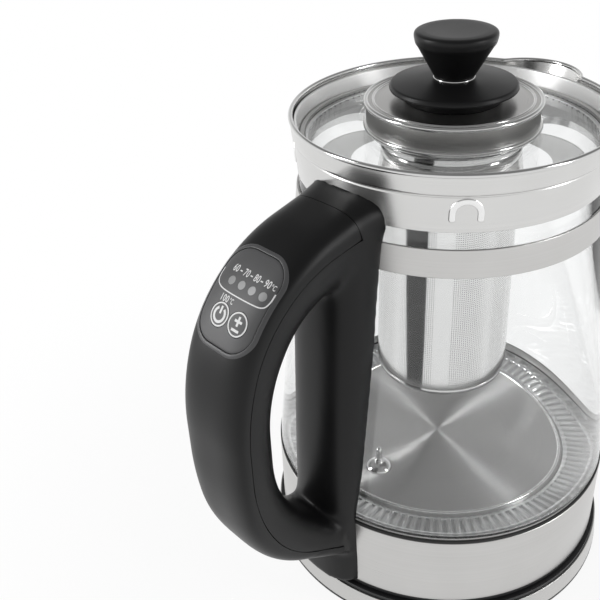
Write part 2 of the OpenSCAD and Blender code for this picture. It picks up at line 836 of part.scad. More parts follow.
module handle_cover() {
    step = 0.016;
    boss_r = 3.4;
    boss_end = 1.5;
    thread = 5;
    over = 3;
    color([0.07, 0.07, 0.075])
    to_handle_side()
    difference() {
        union() {
            loft(concat([cover_ring(step), cover_ring(1)], [for (u = grip_places()) cover_ring(u)],
                [cover_ring(5 - step)]), true);
            for (dz = grip_screw_dz) translate([grip_seam_x, 0, grip_mid + dz]) rotate([0, 90, 0])
                cylinder(r = boss_r, h = grip_crown_x - grip_seam_x - boss_end);
        }
        intersection() {
            panel_prism(panel_l + bezel_wide, panel_w + bezel_wide, panel_corner + bezel_wide);
            crown_sheet(-panel_t - ledge_t, over);
        }
        panel_prism(panel_l - ledge_w, panel_w - ledge_w, panel_corner - ledge_w);
        for (dz = grip_screw_dz) translate([grip_seam_x - 1, 0, grip_mid + dz]) rotate([0, 90, 0])
            cylinder(r = grip_screw_r, h = thread);
    }
}

module foot_screws() {
    color([0.6, 0.6, 0.62])
    for (z = foot_screw_z) translate([-foot_r + sheet + turn_fit, 0, z]) rotate([0, -90, 0]) {
        translate([0, 0, -foot_head_h]) cylinder(r = foot_head_r, h = foot_head_h);
        translate([0, 0, -foot_head_h / 2]) cylinder(r = foot_screw_r, h = foot_screw_len + foot_head_h / 2);
    }
}

module grip_screws() {
    seat = grip_inner_x + grip_seat;
    head_h = 2;
    bite = 4;
    color([0.6, 0.6, 0.62])
    to_handle_side()
    for (dz = grip_screw_dz) translate([seat, 0, grip_mid + dz]) rotate([0, 90, 0]) {
        translate([0, 0, -head_h]) cylinder(r = grip_head_r, h = head_h);
        translate([0, 0, -head_h / 2]) cylinder(r = grip_screw_r, h = grip_seam_x - seat + bite);
    }
}

module control_board() {
    color([0.1, 0.3, 0.16])
    to_handle_side()
    on_panel(panel_mid) translate([-board_l, -board_w, board_out - board_t])
        cube([2 * board_l, 2 * board_w, board_t]);
}

module key_switches() {
    side = 5;
    at = bend_r * sin(panel_mid - key_at);
    color([0.3, 0.3, 0.31])
    to_handle_side()
    for (y = key_y) on_panel(panel_mid) translate([at - side / 2, y - side / 2, board_out])
        cube([side, side, switch_h]);
}

module panel_bezel() {
    over = 3;
    color([0.38, 0.38, 0.39])
    to_handle_side()
    difference() {
        intersection() {
            panel_prism(panel_l + bezel_wide, panel_w + bezel_wide, panel_corner + bezel_wide);
            crown_sheet(-panel_t - ledge_t, bezel_proud);
        }
        intersection() {
            panel_prism(panel_l, panel_w, panel_corner);
            crown_sheet(-panel_t, over);
        }
        panel_prism(panel_l - ledge_w, panel_w - ledge_w, panel_corner - ledge_w);
    }
}

// Copies of a child at the lamps' places
module at_lamps() {
    for (y = lamp_y) on_panel(lamp_at) translate([0, y, 0]) children();
}

module panel_face() {
    color([0.34, 0.34, 0.35])
    to_handle_side()
    difference() {
        intersection() {
            panel_prism(panel_l - panel_gap, panel_w - panel_gap, panel_corner - panel_gap);
            crown_sheet(-panel_t, 0);
        }
        for (y = key_y) on_panel(key_at) translate([0, y, 0])
            cylinder(r = key_r + key_gap, h = 2 * bend_r);
        at_lamps() cylinder(r = lamp_r, h = 2 * bend_r);
    }
}

module panel_lamps() {
    deep = 5.4;
    color([0.62, 0.63, 0.64])
    to_handle_side()
    intersection() {
        at_lamps() cylinder(r = lamp_r, h = 2 * bend_r);
        crown_sheet(-deep, 0);
    }
}

// Cap of a key, flush with the panel, y across the grip
module key_cap(y) {
    intersection() {
        on_panel(key_at) translate([0, y, 0]) cylinder(r = key_r, h = 2 * bend_r);
        crown_sheet(-key_t, 0);
    }
}

// Push key: a cap on a stem that reaches to its switch
module power_key() {
    stem_r = 2;
    lean = panel_mid - key_at;
    stem_z = (board_out + switch_h) / cos(lean) + stem_r * tan(lean) + key_play;
    color([0.34, 0.34, 0.35])
    to_handle_side() {
        key_cap(key_y[0]);
        on_panel(key_at) translate([0, key_y[0], stem_z]) cylinder(r = stem_r, h = bend_r - 1 - stem_z);
    }
}

// Rocker key: a cap on a web with an axle across the grip
module level_key() {
    axle_r = 1;
    axle_z = bend_r - key_t - 0.6 * axle_r;
    axle_l = 6;
    web = [2.4, 4.8];
    color([0.34, 0.34, 0.35])
    to_handle_side() {
        key_cap(key_y[1]);
        on_panel(key_at) translate([0, key_y[1], axle_z]) {
            translate([-web[0] / 2, -web[1] / 2, -axle_r]) cube([web[0], web[1], 2 * axle_r]);
            translate([0, axle_l / 2, 0]) rotate([90, 0, 0]) cylinder(r = axle_r, h = axle_l);
        }
    }
}

// Lid

module lid_ring() {
    spread = 0.6;
    top = z_rim - 2.5;
    color([0.8, 0.8, 0.79])
    turned([[lid_r - lid_seat, z_lid], [lid_r, z_lid], [lid_r + spread, top],
        [lid_r + spread - lid_wall, top], [lid_r - lid_wall, z_lid_plate], [lid_r - lid_seat, z_lid_plate]]);
}

module lid_seal() {
    over = 0.8;
    color([0.85, 0.85, 0.85])
    ring(lid_r - lid_seal_in, lid_r - lid_wall, z_lid_plate, z_lid_plate + lid_plate_t + over);
}

module lid_glass() {
    color([0.85, 0.92, 0.92, 0.35])
    ring(lid_hole, lid_r - lid_seal_in, z_lid_plate, z_lid_plate + lid_plate_t);
}

// Infuser

module basket_rim() {
    waist = 0.8;
    mouth = 1;
    z_join = z_hang - neck_drop;
    z_waist = z_join + 4;
    color([0.78, 0.78, 0.77])
    turned([[basket_r - basket_t, z_join], [basket_r, z_join], [basket_r, z_waist - 1],
        [basket_r - waist, z_waist], [basket_r + mouth, z_hang], [hang_r, z_hang], [hang_r, z_hang + hang_t],
        [basket_r + mouth - 2 * basket_t, z_hang + hang_t], [basket_r - waist - basket_t, z_waist],
        [basket_r - basket_t, z_waist - 1]]);
}

module basket_wall() {
    z1 = z_hang - neck_drop;
    z0 = z_basket + floor_h;
    margin = 6;
    bore = 6;
    pitch = (z1 - z0 - 2 * margin) / (hole_rows - 1);
    color([0.5, 0.5, 0.5])
    difference() {
        ring(basket_r - basket_t, basket_r, z0, z1);
        for (j = [0 : hole_rows - 1]) around(hole_columns, 0, j % 2 * 180 / hole_columns)
            translate([basket_r - bore / 2, 0, z0 + margin + j * pitch]) rotate([0, 90, 0])
                cylinder(r = hole_r, h = bore, $fn = 24);
    }
}

module basket_floor() {
    edge = 2;
    bulge = [0.5, 0.6];
    ring_pitch = 7.5;
    color([0.75, 0.75, 0.74])
    difference() {
        turned([[0, z_basket], [basket_r - edge, z_basket], [basket_r - bulge[0], z_basket + bulge[1]],
            [basket_r, z_basket + edge], [basket_r, z_basket + floor_h],
            [basket_r - basket_t, z_basket + floor_h], [basket_r - basket_t, z_basket + edge],
            [basket_r - edge, z_basket + basket_t], [0, z_basket + basket_t]]);
        for (k = [1 : 3]) around(6 * k, ring_pitch * k) translate([0, 0, z_basket - 1])
            cylinder(r = hole_r, h = floor_h, $fn = 24);
    }
}

module cap_shell() {
    t = cap_t;
    bead = 1.1;
    foot = 1.2;
    z_flat = z_cap_top - t;
    color([0.75, 0.74, 0.72])
    difference() {
        union() {
            turned([[0, z_flat - t], [cap_r - t, z_flat - t], [cap_r - t, z_cap], [cap_r, z_cap],
                [cap_r, z_flat], [0, z_flat]]);
            translate([0, 0, z_cap_top - bead]) rotate_extrude()
                translate([cap_r + 0.1, 0]) circle(bead, $fn = 32);
            translate([0, 0, z_cap + foot]) rotate_extrude() translate([cap_r, 0])
                intersection() {
                    circle(foot, $fn = 32);
                    translate([-t, -2 * foot]) square([4 * foot, 4 * foot]);
                }
        }
        translate([0, 0, z_cap]) cylinder(r = screw_r, h = 2 * cap_h);
    }
}

module cap_seal() {
    seat_r = basket_r + 1.4;
    low = 0.1;
    high = 2.6;
    color([0.85, 0.85, 0.85])
    ring(seat_r, cap_r - cap_t, z_cap + low, z_cap + high);
}

module heat_shield() {
    hub_r = 20.5;
    hub_draft = 1.5;
    soft = 0.5;
    z_flat = z_cap_top - cap_t;
    color([0.06, 0.06, 0.065])
    difference() {
        turned([[0, z_flat], [hub_r, z_flat], [hub_r + hub_draft, z_shield], [shield_r - soft, z_shield],
            [shield_r, z_shield + soft], [shield_r, z_shield + shield_t - soft],
            [shield_r - soft, z_shield + shield_t], [0, z_shield + shield_t]]);
        translate([0, 0, z_cap]) cylinder(r = screw_r, h = 3 * cap_h);
    }
}

module knob_collar() {
    color([0.8, 0.8, 0.79])
    ring(screw_r, neck_knob_r + 0.5, z_shield + shield_t, z_knob);
}

module knob() {
    band = 3.4;
    brow = 0.4;
    brow_h = 0.8;
    crown = [[0, -1.4], [-1, -0.5], [-3.4, 0]];
    dish = 0.5;
    bore_h = 9;
    z_top = z_knob + knob_h;
    z_wide = z_top - band;
    sweep_h = z_wide - z_knob;
    spread = knob_r - brow - neck_knob_r;
    chord = norm([spread, sweep_h]);
    bow = 4.2 * chord;
    tilt = atan2(spread, sweep_h);
    mid = [neck_knob_r + spread / 2, z_knob + sweep_h / 2];
    far = sqrt(bow * bow - chord * chord / 4);
    centre = [mid[0] + far * cos(tilt), mid[1] - far * sin(tilt)];
    color([0.06, 0.06, 0.065])
    difference() {
        rotate_extrude() difference() {
            polygon(concat([[0, z_knob], [neck_knob_r, z_knob], [knob_r - brow, z_wide],
                [knob_r, z_wide + brow_h]],
                [for (c = crown) [knob_r + c[0], z_top + c[1]]],
                [[0, z_top - dish]]));
            translate(centre) circle(bow, $fn = 360);
        }
        translate([0, 0, z_knob - 1]) cylinder(r = screw_r, h = bore_h + 1);
    }
}

module knob_screw() {
    head_r = 4;
    head_h = 2.4;
    bite = 7;
    z_under = z_cap_top - 2 * cap_t;
    color([0.7, 0.7, 0.71]) {
        translate([0, 0, z_under - head_h]) cylinder(r = head_r, h = head_h);
        translate([0, 0, z_under - 1]) cylinder(r = screw_r, h = z_knob + bite - z_under);
    }
}

base_plate();
base_feet();
base_shell();
base_skirt();
base_screws();
connector_post();
post_contacts();
cord_gland();
turn_ring();
bottom_cover();
cover_screws();
socket();
socket_pins();
foot_chassis();
foot_band();
control_unit();
heater_element();
heat_spreader();
heater_plate();
plate_seal();
sensor_probe();
light_ring();
jar_seal();
glass_jar();
clamp_band();
collar_seal();
collar();
handle_frame();
handle_cover();
foot_screws();
grip_screws();
control_board();
key_switches();
panel_bezel();
panel_face();
panel_lamps();
power_key();
level_key();
lid_ring();
lid_seal();
lid_glass();
basket_rim();
basket_wall();
basket_floor();
cap_shell();
cap_seal();
heat_shield();
knob_collar();
knob();
knob_screw();
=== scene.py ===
import math
from functools import partialmethod

import bmesh
import bpy
import numpy as np
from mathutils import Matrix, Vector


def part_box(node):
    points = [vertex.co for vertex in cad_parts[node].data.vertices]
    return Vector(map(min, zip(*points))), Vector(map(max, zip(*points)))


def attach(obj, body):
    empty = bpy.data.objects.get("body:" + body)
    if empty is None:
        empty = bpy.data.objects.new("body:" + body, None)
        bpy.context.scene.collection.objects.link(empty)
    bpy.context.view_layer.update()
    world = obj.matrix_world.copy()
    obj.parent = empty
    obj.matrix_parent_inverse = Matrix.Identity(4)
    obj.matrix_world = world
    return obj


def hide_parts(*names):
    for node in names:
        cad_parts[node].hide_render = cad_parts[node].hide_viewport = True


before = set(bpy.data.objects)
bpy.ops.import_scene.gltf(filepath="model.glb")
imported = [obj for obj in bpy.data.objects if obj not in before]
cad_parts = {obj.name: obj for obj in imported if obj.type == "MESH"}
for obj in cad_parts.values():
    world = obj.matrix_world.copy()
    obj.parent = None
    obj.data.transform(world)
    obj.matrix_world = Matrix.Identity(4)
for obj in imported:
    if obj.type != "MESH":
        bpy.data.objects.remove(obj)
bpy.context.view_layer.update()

# Underside of the power base: a flat black moulding on five rubber pads.
# The plate is injection moulded with a fine spark-eroded grain, and the pads
# are pressed into round pockets. Three screws pull the plate up to the deck.


class Wire:
    """One shader socket. Arithmetic on it adds Math nodes to its material."""

    def __init__(self, finish, socket):
        self.finish, self.socket = finish, socket

    def math(self, operation, *terms):
        return self.finish.put("Math", dict(enumerate((self, *terms))), operation=operation)

    def __rsub__(self, other):
        return self.finish.put("Math", {0: other, 1: self}, operation="SUBTRACT")

    __add__ = __radd__ = partialmethod(math, "ADD")
    __sub__ = partialmethod(math, "SUBTRACT")
    __mul__ = __rmul__ = partialmethod(math, "MULTIPLY")
    __truediv__ = partialmethod(math, "DIVIDE")
    __pow__ = partialmethod(math, "POWER")


class Finish:
    """A material, or a world, and its node tree round one shader."""

    def __init__(self, name, constants, kind="materials", shader="Principled BSDF"):
        self.material = getattr(bpy.data, kind).new(name)
        self.material.use_nodes = True
        self.tree = self.material.node_tree
        self.shader = self.tree.nodes[shader]
        self.wear(constants)

    def wear(self, inputs, node=None):
        """Sets or links sockets of the shader, or of another node."""
        for key, value in inputs.items():
            socket = (node or self.shader).inputs[key]
            if isinstance(value, Wire):
                self.tree.links.new(value.socket, socket)
            else:
                socket.default_value = value

    def put(self, kind, inputs=(), out=0, **settings):
        """Adds one node: settings first, then each socket's value or link."""
        node = self.tree.nodes.new("ShaderNode" + kind)
        for key, value in settings.items():
            setattr(node, key, value)
        self.wear(dict(inputs), node)
        return Wire(self, node.outputs[out])

    def place(self):
        """Object coordinates, in metres."""
        return self.put("TexCoord", out="Object")

    def axes(self):
        """Object coordinates as a wire each for x, y and z."""
        place = self.place()
        return [self.put("SeparateXYZ", {0: place}, k) for k in range(3)]

    def lathe(self):
        """Distance from the upright axis and height: constant along a turned groove."""
        x, y, z = self.axes()
        return self.put("CombineXYZ", {0: (x * x + y * y) ** 0.5, 1: z})

    def noise(self, vector, scale, detail=2):
        return self.put("TexNoise", {"Vector": vector, "Scale": scale, "Detail": detail})

    def tint(self, share, dark, light):
        """Colour between two others by a share from 0 to 1."""
        return self.put("Mix", {0: share, 6: (*dark, 1), 7: (*light, 1)}, 2, data_type="RGBA")

    def bump(self, height, depth, strength=1):
        relief = {"Strength": strength, "Distance": depth, "Height": height}
        self.wear({"Normal": self.put("Bump", relief)})


def grained(name, dark, light, rough, swing, grain, depth, constants=None, lathed=False):
    """Finish whose colour and roughness follow broad noise, with a fine grain as bump. On lathed
    metal the grain runs in circles."""
    finish = Finish(name, constants or {})
    broad = finish.noise(finish.place(), scale=45)
    fine = finish.noise(finish.lathe() if lathed else finish.place(), grain, detail=3)
    share = fine * 0.6 + broad * 0.4 if lathed else broad
    finish.wear({"Base Color": finish.tint(share, dark, light),
                 "Roughness": rough + (share - 0.5) * swing})
    finish.bump(fine, depth)
    return finish.material


def cover_nodes(material, *names):
    """CAD nodes keep their mesh and get this finish."""
    for name in names:
        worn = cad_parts[name].data.materials
        worn.clear()
        worn.append(material)


metal = {"Metallic": 1}
moulded_black = grained("moulded_black", (0.01, 0.01, 0.011), (0.017, 0.017, 0.018),
    0.42, 0.16, 2600, 3e-5)
soft_rubber = grained("soft_rubber", (0.016, 0.016, 0.016), (0.03, 0.03, 0.03),
    0.75, 0.2, 900, 4e-5)
screw_steel = grained("screw_steel", (0.42, 0.42, 0.43), (0.58, 0.58, 0.59),
    0.32, 0.25, 700, 3e-5, metal)
cover_nodes(moulded_black, "base_plate")
cover_nodes(soft_rubber, "base_feet", "cord_gland")
cover_nodes(screw_steel, "base_screws", "cover_screws", "foot_screws", "grip_screws", "knob_screw")

# Deck of the power base with its connector: a black shell whose middle boss carries
# the round post, two brass contacts inside the post, and a guide ring that turns with
# the kettle. Heat-proof mouldings, clipped together from below.

heat_moulding = grained("heat_moulding", (0.016, 0.016, 0.017), (0.028, 0.028, 0.03),
    0.55, 0.2, 1500, 4e-5)
contact_brass = grained("contact_brass", (0.55, 0.38, 0.15), (0.72, 0.53, 0.25),
    0.28, 0.2, 900, 2e-5, metal)
cover_nodes(moulded_black, "base_shell")
cover_nodes(heat_moulding, "connector_post", "turn_ring")
cover_nodes(contact_brass, "post_contacts")

# Skirt of the power base: a drawn band of brushed stainless steel with rolled edges,
# pressed over the black shell. Its grain runs round the band.
MM = 0.001
sheet = 1


def softened(corners, soft, steps=6):
    """Closed profile with rounded corners: each becomes a quadratic Bezier curve from `soft` before
    it to `soft` after it, at most half an edge away. Corners on the axis stay sharp."""
    p = np.asarray(corners, float)
    back, on = np.roll(p, 1, 0) - p, np.roll(p, -1, 0) - p
    back_l = np.linalg.norm(back, axis=1)[:, None]
    on_l = np.linalg.norm(on, axis=1)[:, None]
    reach = np.where(p[:, :1] < 1e-9, 0, np.broadcast_to(soft, len(p))[:, None])
    most = 0.49
    a = p + back / back_l * np.minimum(reach, most * back_l)
    b = p + on / on_l * np.minimum(reach, most * on_l)
    t = np.linspace(0, 1, steps)[None, :, None]
    curve = (1 - t) ** 2 * a[:, None] + 2 * t * (1 - t) * p[:, None] + t * t * b[:, None]
    return curve.reshape(-1, 2)


def placed(name, data):
    """New object in the scene from a mesh, letters, a lamp or a camera."""
    made = bpy.data.objects.new(name, data)
    bpy.context.scene.collection.objects.link(made)
    return made


def piece(name, points, *faces, sharp=40):
    """Object from points in millimetres and arrays of faces: doubles merged, faces outward,
    smooth up to `sharp` degrees. With None it stays flat and each loose part is turned outward."""
    mesh = bpy.data.meshes.new(name)
    mesh.from_pydata((np.asarray(points).reshape(-1, 3) * MM).tolist(), [],
                     [corners for part in faces for corners in part.tolist()])
    work = bmesh.new()
    work.from_mesh(mesh)
    bmesh.ops.remove_doubles(work, verts=work.verts, dist=2e-7)
    bmesh.ops.delete(work, geom=[e for e in work.edges if not e.link_faces], context="EDGES")
    if sharp is None:
        bmesh.ops.recalc_face_normals(work, faces=work.faces)
    elif work.calc_volume(signed=True) < 0:
        bmesh.ops.reverse_faces(work, faces=work.faces)
    work.to_mesh(mesh)
    work.free()
    if sharp is not None:
        mesh.shade_smooth()
        mesh.set_sharp_from_angle(angle=math.radians(sharp))
    return placed(name, mesh)


def stacked(*axes):
    """Points from their coordinates, each an array or a number."""
    return np.stack(np.broadcast_arrays(*axes), -1)


def quads(rows, columns, closed):
    """Quads between rows of points. Each row is a loop, and if closed the last joins the first."""
    i, j = np.arange(rows if closed else rows - 1)[:, None], np.arange(columns)
    low, high, on = i * columns, (i + 1) % rows * columns, (j + 1) % columns
    return stacked(low + j, low + on, high + on, high + j).reshape(-1, 4)


def skin(name, grid, closed=False, sharp=40):
    """Piece from a grid of points, one loop in each row."""
    return piece(name, grid, quads(*grid.shape[:2], closed), sharp=sharp)


def angles(count):
    """Even steps once round a circle."""
    return np.linspace(0, 2 * math.pi, count, endpoint=False)


def carried(name, r, z, turns=240, at=(0, 0)):
    """Closed section (r, z) carried round an upright axis: x = r cos a, y = r sin a."""
    a = angles(turns)
    x, y = at[0] + r * np.cos(a), at[1] + r * np.sin(a)
    return skin(name, stacked(x, y, z), closed=True)


def fit(made, material, body, slot, *stands_for):
    """Gives a new piece its finish and body, and hides the CAD nodes it stands for. The record slot
    is not used.
    """
    made.data.materials.clear()
    made.data.materials.append(material)
    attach(made, body)
    if stands_for:
        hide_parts(*stands_for)
    return made


def turned(name, corners, soft, *fitting, turns=240, at=(0, 0)):
    """Solid of revolution from a closed profile of (radius, height), softened and fitted."""
    profile = softened(corners, soft)
    return fit(carried(name, profile[:, :1], profile[:, 1:], turns, at), *fitting)


def span(node):
    """Outer radius, lowest and highest level of a turned CAD node, in millimetres."""
    low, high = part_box(node)
    return high.y / MM, low.z / MM, high.z / MM


brushed = grained("brushed_steel", (0.5, 0.495, 0.485), (0.66, 0.655, 0.645),
    0.3, 0.16, 2600, 1.2e-5, {**metal, "Anisotropic": 0.55}, True)
skirt_r, skirt_z0, skirt_z1 = span("base_skirt")
deck_r = span("base_shell")[0]
turned("base_skirt_steel", [
    (skirt_r - sheet, skirt_z0), (skirt_r, skirt_z0), (deck_r, skirt_z1),
    (deck_r - sheet, skirt_z1)], 0.4, brushed, "power_base", "brushed_steel", "base_skirt")

# Inside of the kettle's foot: black bottom cover with the socket that drops over the
# post, the moulding that carries everything, thermostat block, bent tubular element
# and its cast spreader. Screwed together from below and hidden in use.
cast_aluminium = grained("cast_aluminium", (0.5, 0.51, 0.52), (0.64, 0.65, 0.66),
    0.45, 0.2, 500, 6e-5, metal)
cover_nodes(moulded_black, "bottom_cover")
cover_nodes(heat_moulding, "socket", "foot_chassis", "control_unit", "key_switches")
cover_nodes(contact_brass, "socket_pins")
cover_nodes(cast_aluminium, "heater_element", "heat_spreader")

# Foot band: brushed stainless steel, drawn to a tube with its top edge turned in as a
# lip that carries the glass. Two screws from inside hold the handle's spine to it.
foot_r, band_z0, band_z1 = span("foot_band")
lip_r = foot_r - 3.2
turned("foot_band_steel", [
    (foot_r - sheet, band_z0), (foot_r, band_z0), (foot_r, band_z1), (lip_r, band_z1),
    (lip_r, band_z1 - sheet), (foot_r - sheet, band_z1 - sheet)],
    [0.3, 0.5, 0.9, 0.3, 0.3, 0.3], brushed, "kettle", "brushed_steel", "foot_band")

# Heater plate: a spun stainless disc, brushed in circles, with a rolled rim in a lighter steel that
# paints a highlight on it, and a pale silicone ring round it. The probe is a polished dome with a
# thin pin.
plate_steel = grained("plate_steel", (0.64, 0.635, 0.63), (0.76, 0.755, 0.75),
    0.5, 0.1, 1800, 1e-5, {**metal, "Anisotropic": 1, "Anisotropic Rotation": 0.25}, True)
# A lighter copy of the polished steel. It is a painted highlight, used on the plate's rolled rim
# and on the collar's arches.
painted_highlight_steel = grained("painted_highlight_steel", (0.8, 0.8, 0.795), (0.88, 0.88, 0.875),
    0.22, 0.08, 1500, 4e-6, metal, True)
polished = grained("polished_steel", (0.6, 0.6, 0.595), (0.7, 0.7, 0.695),
    0.13, 0.08, 1500, 4e-6, metal, True)
silicone = grained("pale_silicone", (0.55, 0.55, 0.54), (0.66, 0.66, 0.65), 0.5, 0.2, 700, 3e-5)
plate_r, plate_z0, plate_top = span("heater_plate")
plate_z1, rim_r, rim_wire = plate_top + 0.1, plate_r - 1, 0.9
turned("heater_plate_disc", [
    (0, plate_z1 - 1.2), (plate_r - sheet, plate_z1 - 1.2), (plate_r - sheet, plate_z0),
    (plate_r, plate_z0), (plate_r, plate_z1 - 1.8), (rim_r, plate_z1 - 0.2),
    (rim_r - 2.4, plate_z1), (0, plate_z1)],
    [0, 0.4, 0.2, 0.2, 0.5, 0.4, 0.5, 0], plate_steel, "kettle", "brushed_steel", "heater_plate")


def bead(name, ring_r, wire_r, level, *fitting):
    """Torus: a circle of wire_r carried round the upright axis at ring_r."""
    b = angles(20)[:, None]
    ring = carried(name, ring_r + wire_r * np.cos(b), level + wire_r * np.sin(b))
    return fit(ring, *fitting)


# The rim bead wears the lighter steel: a painted highlight line.
bead("plate_rim", rim_r - rim_wire, rim_wire, plate_z1, painted_highlight_steel, "kettle", "polished_steel")
cover_nodes(silicone, "plate_seal", "collar_seal", "lid_seal", "cap_seal")
probe_lo, probe_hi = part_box("sensor_probe")
probe_at = ((probe_lo.x + probe_hi.x) / 2 / MM, (probe_lo.y + probe_hi.y) / 2 / MM)
probe_r, probe_top = (probe_hi.x - probe_lo.x) / 2 / MM, probe_hi.z / MM
dome_h, stub_r, pin_r = 3.4, 2.2, 1.5
probe_profile = [(0, plate_z1 - 0.4), (probe_r, plate_z1 - 0.4)]
probe_profile += [(probe_r * math.cos(s), plate_z1 + dome_h * math.sin(s))
                  for s in np.linspace(0, 1.15, 8)]
probe_profile += [(stub_r, plate_z1 + 3.2), (stub_r, plate_z1 + 4.9), (pin_r, plate_z1 + 5.2),
                  (pin_r, probe_top - 1.5), (1.1, probe_top - 0.5), (0, probe_top)]
turned("sensor_probe_pin", probe_profile, 0.4, polished, "kettle", "polished_steel", "sensor_probe",
    turns=64, at=probe_at)

# Light ring: clear moulded plastic between plate and band, with radial ribs inside a round
# ridge and small blocks outside it, which spread the light. It lies loose in the foot, and
# its inner lip covers the plate's seal.
ring_r, ring_z0, ring_z1 = span("light_ring")
ring_in, rib_count = plate_r + 1.3, 108


def ribbed_ring(name, turns=1296):
    """Ring with a relief: z = level(r) + rise(r) wave(count(r) a), the wave a softened square,
    0.5 + 0.5 tanh(4 sin), carried round the axis and closed underneath."""
    rib_z, block_z = -1.5, -2.2
    inner = [(0, -9), (0, -1.1), (-1.15, -1.1), (-1.15, -0.8), (-0.8, -0.6), (0.6, -0.5),
             (0.9, rib_z), (5, rib_z), (9.4, rib_z), (9.7, -0.4), (10.2, 0), (11, 0),
             (11.4, -0.5), (11.8, block_z)]
    outer = [(-1.2, block_z), (-0.9, -0.9), (-0.3, -0.7), (0, -1), (0, -9)]
    profile = np.vstack([np.array(inner) + (ring_in, 0), np.array(outer) + (ring_r, 0)])
    r, level = profile[:, :1], profile[:, 1:]
    rate = (level == rib_z) + 0.5 * (level == block_z)
    rise = 1.3 * (rate > 0)
    wave = 0.5 + 0.5 * np.tanh(4 * np.sin(rib_count * rate * angles(turns)))
    return carried(name, r, np.maximum(ring_z1 + level + rise * wave, ring_z0), turns)


plastic = Finish("clear_plastic", {"Metallic": 0.55, "IOR": 1.46})
ring_x, ring_y, _ = plastic.axes()
# Painted shade: the colour is darker between the ribs and lighter on their tops, in step with the
# raised ribs, and mixed with a random cloudy tone.
rib_painted_shade = (ring_y.math("ARCTAN2", ring_x) * rib_count).math("SINE") * 0.5 + 0.5
clouds = plastic.noise(plastic.place(), scale=260)
ring_tone_and_painted_shade = plastic.tint(rib_painted_shade * 0.6 + clouds * 0.4, (0.62, 0.63, 0.63), (1, 1, 1))
plastic.wear({"Base Color": ring_tone_and_painted_shade, "Roughness": 0.08 + clouds * 0.08})
plastic.bump(clouds, depth=0.0002, strength=0.3)
light_ring = ribbed_ring("light_ring_ribs")
fit(light_ring, plastic.material, "kettle", "clear_plastic", "light_ring")

# Seal and jar: a rubber ring on the lip, pale under the glass with a black outer lip, and
# a pressed borosilicate cone with a fire-polished mouth, three millimetres thick.
jar_seal_r, seal_z0, seal_z1 = span("jar_seal")
seal_step, seal_top = jar_seal_r - 1, seal_z1 - 1.2
bed_r = seal_step - 0.02
turned("jar_seal_lip", [
    (seal_step, seal_z0), (jar_seal_r, seal_z0), (jar_seal_r, seal_z1 - 1.5),
    (jar_seal_r - 0.4, seal_top), (seal_step, seal_top)],
    0.25, soft_rubber, "kettle", "black_rubber", "jar_seal")
turned("jar_seal_bed", [
    (lip_r, seal_z0), (bed_r, seal_z0), (bed_r, seal_z1), (lip_r, seal_z1)],
    0.2, silicone, "kettle", "pale_silicone")
glass = Finish("clear_glass", {"Base Color": (0.985, 0.99, 0.99, 1), "Roughness": 0,
                               "IOR": 1.47, "Transmission Weight": 1})
glass.bump(glass.noise(glass.place(), scale=24, detail=1), depth=0.0001, strength=0.05)
jar_r0, jar_z0, jar_z1 = span("glass_jar")
jar_taper, glass_t = 0.1125, 3


def jar_r(z):
    """Outer radius of the conical jar at a level."""
    return jar_r0 - jar_taper * (z - jar_z0)


turned("glass_jar_wall", [
    (jar_r0 - glass_t, jar_z0), (jar_r0, jar_z0), (jar_r(jar_z1), jar_z1),
    (jar_r(jar_z1) - glass_t, jar_z1)],
    [0.6, 0.6, 1.3, 1.3], glass.material, "kettle", "clear_glass", "glass_jar")

# Clamp band and collar: stainless steel. The band is a hoop drawn tight round the glass
# that holds the handle's upper end. The collar is spun, with a crease, a flared rolled
# rim, a pouring lip opposite the handle and two arches pressed out beside the handle.
slip = 0.02
clamp_z0, clamp_z1 = span("clamp_band")[1:]
turned("clamp_band_steel", [
    (jar_r(clamp_z0) + slip, clamp_z0), (jar_r(clamp_z0) + sheet, clamp_z0),
    (jar_r(clamp_z1) + sheet, clamp_z1), (jar_r(clamp_z1) + slip, clamp_z1)],
    0.4, brushed, "kettle", "brushed_steel", "clamp_band")
collar_z0, collar_z1 = span("collar")[1:]
collar_steel = grained("collar_steel", (0.6, 0.598, 0.59), (0.72, 0.718, 0.71),
    0.2, 0.12, 2200, 6e-6, {**metal, "Anisotropic": 0.4}, True)
collar_in, collar_h = jar_r(collar_z0) + slip, collar_z1 - collar_z0 - 0.1
crease_z, rim_z = collar_z0 + 0.6 * collar_h, collar_z1 - 1
lip_reach, lip_bow, lip_root = 12, 24, 11


def collar_bore(z):
    """Inner radius of the collar at a level: straight to the crease, then flared."""
    levels = [collar_z0, crease_z, crease_z + 1.2, rim_z]
    return collar_in + np.interp(z, levels, [0, 1.1, 1.8, 2.5])


def lip_bore(a, z):
    """Inner radius towards direction a with the pouring lip: the larger of the collar's bore
    and the far side of a circle that widens upwards, blended by a smooth maximum."""
    centre, start, blend = collar_in + lip_reach - lip_bow, collar_z0 + 3, 1.2
    widen = (lip_bow - lip_root) * (z - start) / (collar_z1 - start)
    circle = np.maximum(lip_root + widen, 0.5)
    across = np.clip(circle ** 2 - (centre * np.sin(a)) ** 2, 0, None)
    far = np.where((np.cos(a) > 0) & (across > 0), centre * np.cos(a) + np.sqrt(across), 0)
    bore = collar_bore(z)
    mix = np.clip(0.5 + 0.5 * (far - bore) / blend, 0, 1)
    return bore + (far - bore) * mix + blend * mix * (1 - mix)


